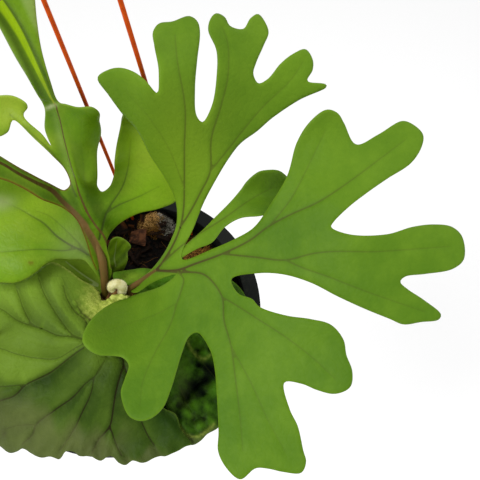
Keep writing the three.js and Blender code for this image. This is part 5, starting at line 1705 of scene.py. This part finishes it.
def wire_piece(name, path, radius, sides):
    mesh = bpy.data.meshes.new(name)
    placed = (path - [0, 0, HANG]) * MM
    mesh.from_pydata(placed.tolist(), [(i, i + 1) for i in range(len(path) - 1)], [])
    piece = in_scene(name, mesh)
    wire_tree.grow(piece, {"Wire Radius": radius * MM, "Sides": sides})
    faces = piece.data.polygons
    faces.foreach_set("use_smooth", [len(face.vertices) == 4 for face in faces])
    return piece


for i, turns in enumerate(zip(STRAND_TURNS, SLEEVE_TURNS), start=1):
    strand = wire_piece(f"hanger_wire_{i}", strand_path(*turns), WIRE / 2, 12)
    finish_piece(strand, None, "hanger_wire", f"hanger_strand_{i}")

# %% [markdown]
# The hook is the same kind of wire, only thicker. The inside top of its bend is the
# frame's origin. Its sleeve is turned like the pot, with two crimped rings.

# %% The hook and its sleeve
hook = wire_piece("hanger_hook_wire", hook_path(), HOOK_WIRE, 16)
finish_piece(hook, None, "hanger_wire", "hanger_hook")
SLEEVE = [
    (0, 16), (4.7, 16), (5.5, 15.2), (5.5, 11.5), (5.0, 11), (5.0, 10), (5.5, 9.5), (5.5, 6),
    (5.0, 5.5), (5.0, 4.5), (5.5, 4), (5.5, 1.6), (3.1, 0), (0, 0)]
sleeve_profile = [(radius, HANG + SLEEVE_TOP - depth) for radius, depth in SLEEVE]
sleeve = mesh_object("hanger_sleeve", *turned(rounded(sleeve_profile, 0.3, 3), 48))
f = Finish("sleeve_steel")
brushed = f.noise(500, 3, 0.6, 0.0, (1, 1, 0.1))
steel = f.mix(brushed.between(0.3, 0.7), colour(150, 118, 92), colour(186, 96, 40))
sleeve_steel = f.surface(steel, 0.35 + brushed * 0.2, f.bump(brushed, 0.1, 0.1))
finish_piece(sleeve, sleeve_steel, "hanger_wire")

# %% [markdown]
# ## Stage, light and camera
#
# The light is a bright overcast one: an even white sky, and one large soft lamp above
# the plant's left that gives the blades their shape. The floor lies far below, because
# the pot hangs. The camera is where the photograph was taken from: close above the
# plant, looking down at it by 61 degrees.

# %% Floor, sky and lamp
scene = bpy.context.scene
scene.view_settings.view_transform = "Standard"
floor_mesh = bpy.data.meshes.new("floor")
corners = [(-6, -6, -1.3), (6, -6, -1.3), (6, 6, -1.3), (-6, 6, -1.3)]
floor_mesh.from_pydata(corners, [], [[0, 1, 2, 3]])
floor = in_scene("floor", floor_mesh)
f = Finish("floor_pale")
floor_mesh.materials.append(f.surface((0.93, 0.93, 0.93, 1), 0.9, gloss=0.0))
floor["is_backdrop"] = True

world = bpy.data.worlds.new("sky")
world.use_nodes = True
sky = world.node_tree.nodes["Background"].inputs
sky["Color"].default_value = (1, 1, 1, 1)
sky["Strength"].default_value = 0.85
scene.world = world


PLANT_MIDDLE = Vector((0, 0, -0.45))


def lamp(name, place, size, power):
    light = bpy.data.lights.new(name, "AREA")
    light.shape, light.size, light.energy = "DISK", size, power
    made = in_scene(name, light)
    made.location = place
    way = PLANT_MIDDLE - Vector(place)
    made.rotation_euler = way.to_track_quat("-Z", "Y").to_euler()


lamp("lamp_main", (-0.8, -0.5, 1.0), 0.8, 20)
lamp("lamp_fill", (0.9, 0.7, 0.8), 1.2, 5)

# %% Camera
CAMERA_DOWN = 61.1
camera = bpy.data.cameras.new("camera")
camera.lens, camera.sensor_width, camera.clip_start = 40.5, 36, 0.005
view = in_scene("camera", camera)
view.location = (0.0638, -0.1089, 0.2743 - HANG * MM)
view.rotation_euler = (math.radians(90 - CAMERA_DOWN), 0, 0)
scene.camera = view

# %% [markdown]
# The dressed plant has to be as large as the CAD part. Both boxes are printed.

# %% Print both sizes
new_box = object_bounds()
boxes = {"cad": [list(corner) for corner in cad_box], "visual": [list(corner) for corner in new_box]}
for key, box in boxes.items():
    print(key, [[round(value * 1000, 1) for value in corner] for corner in box])
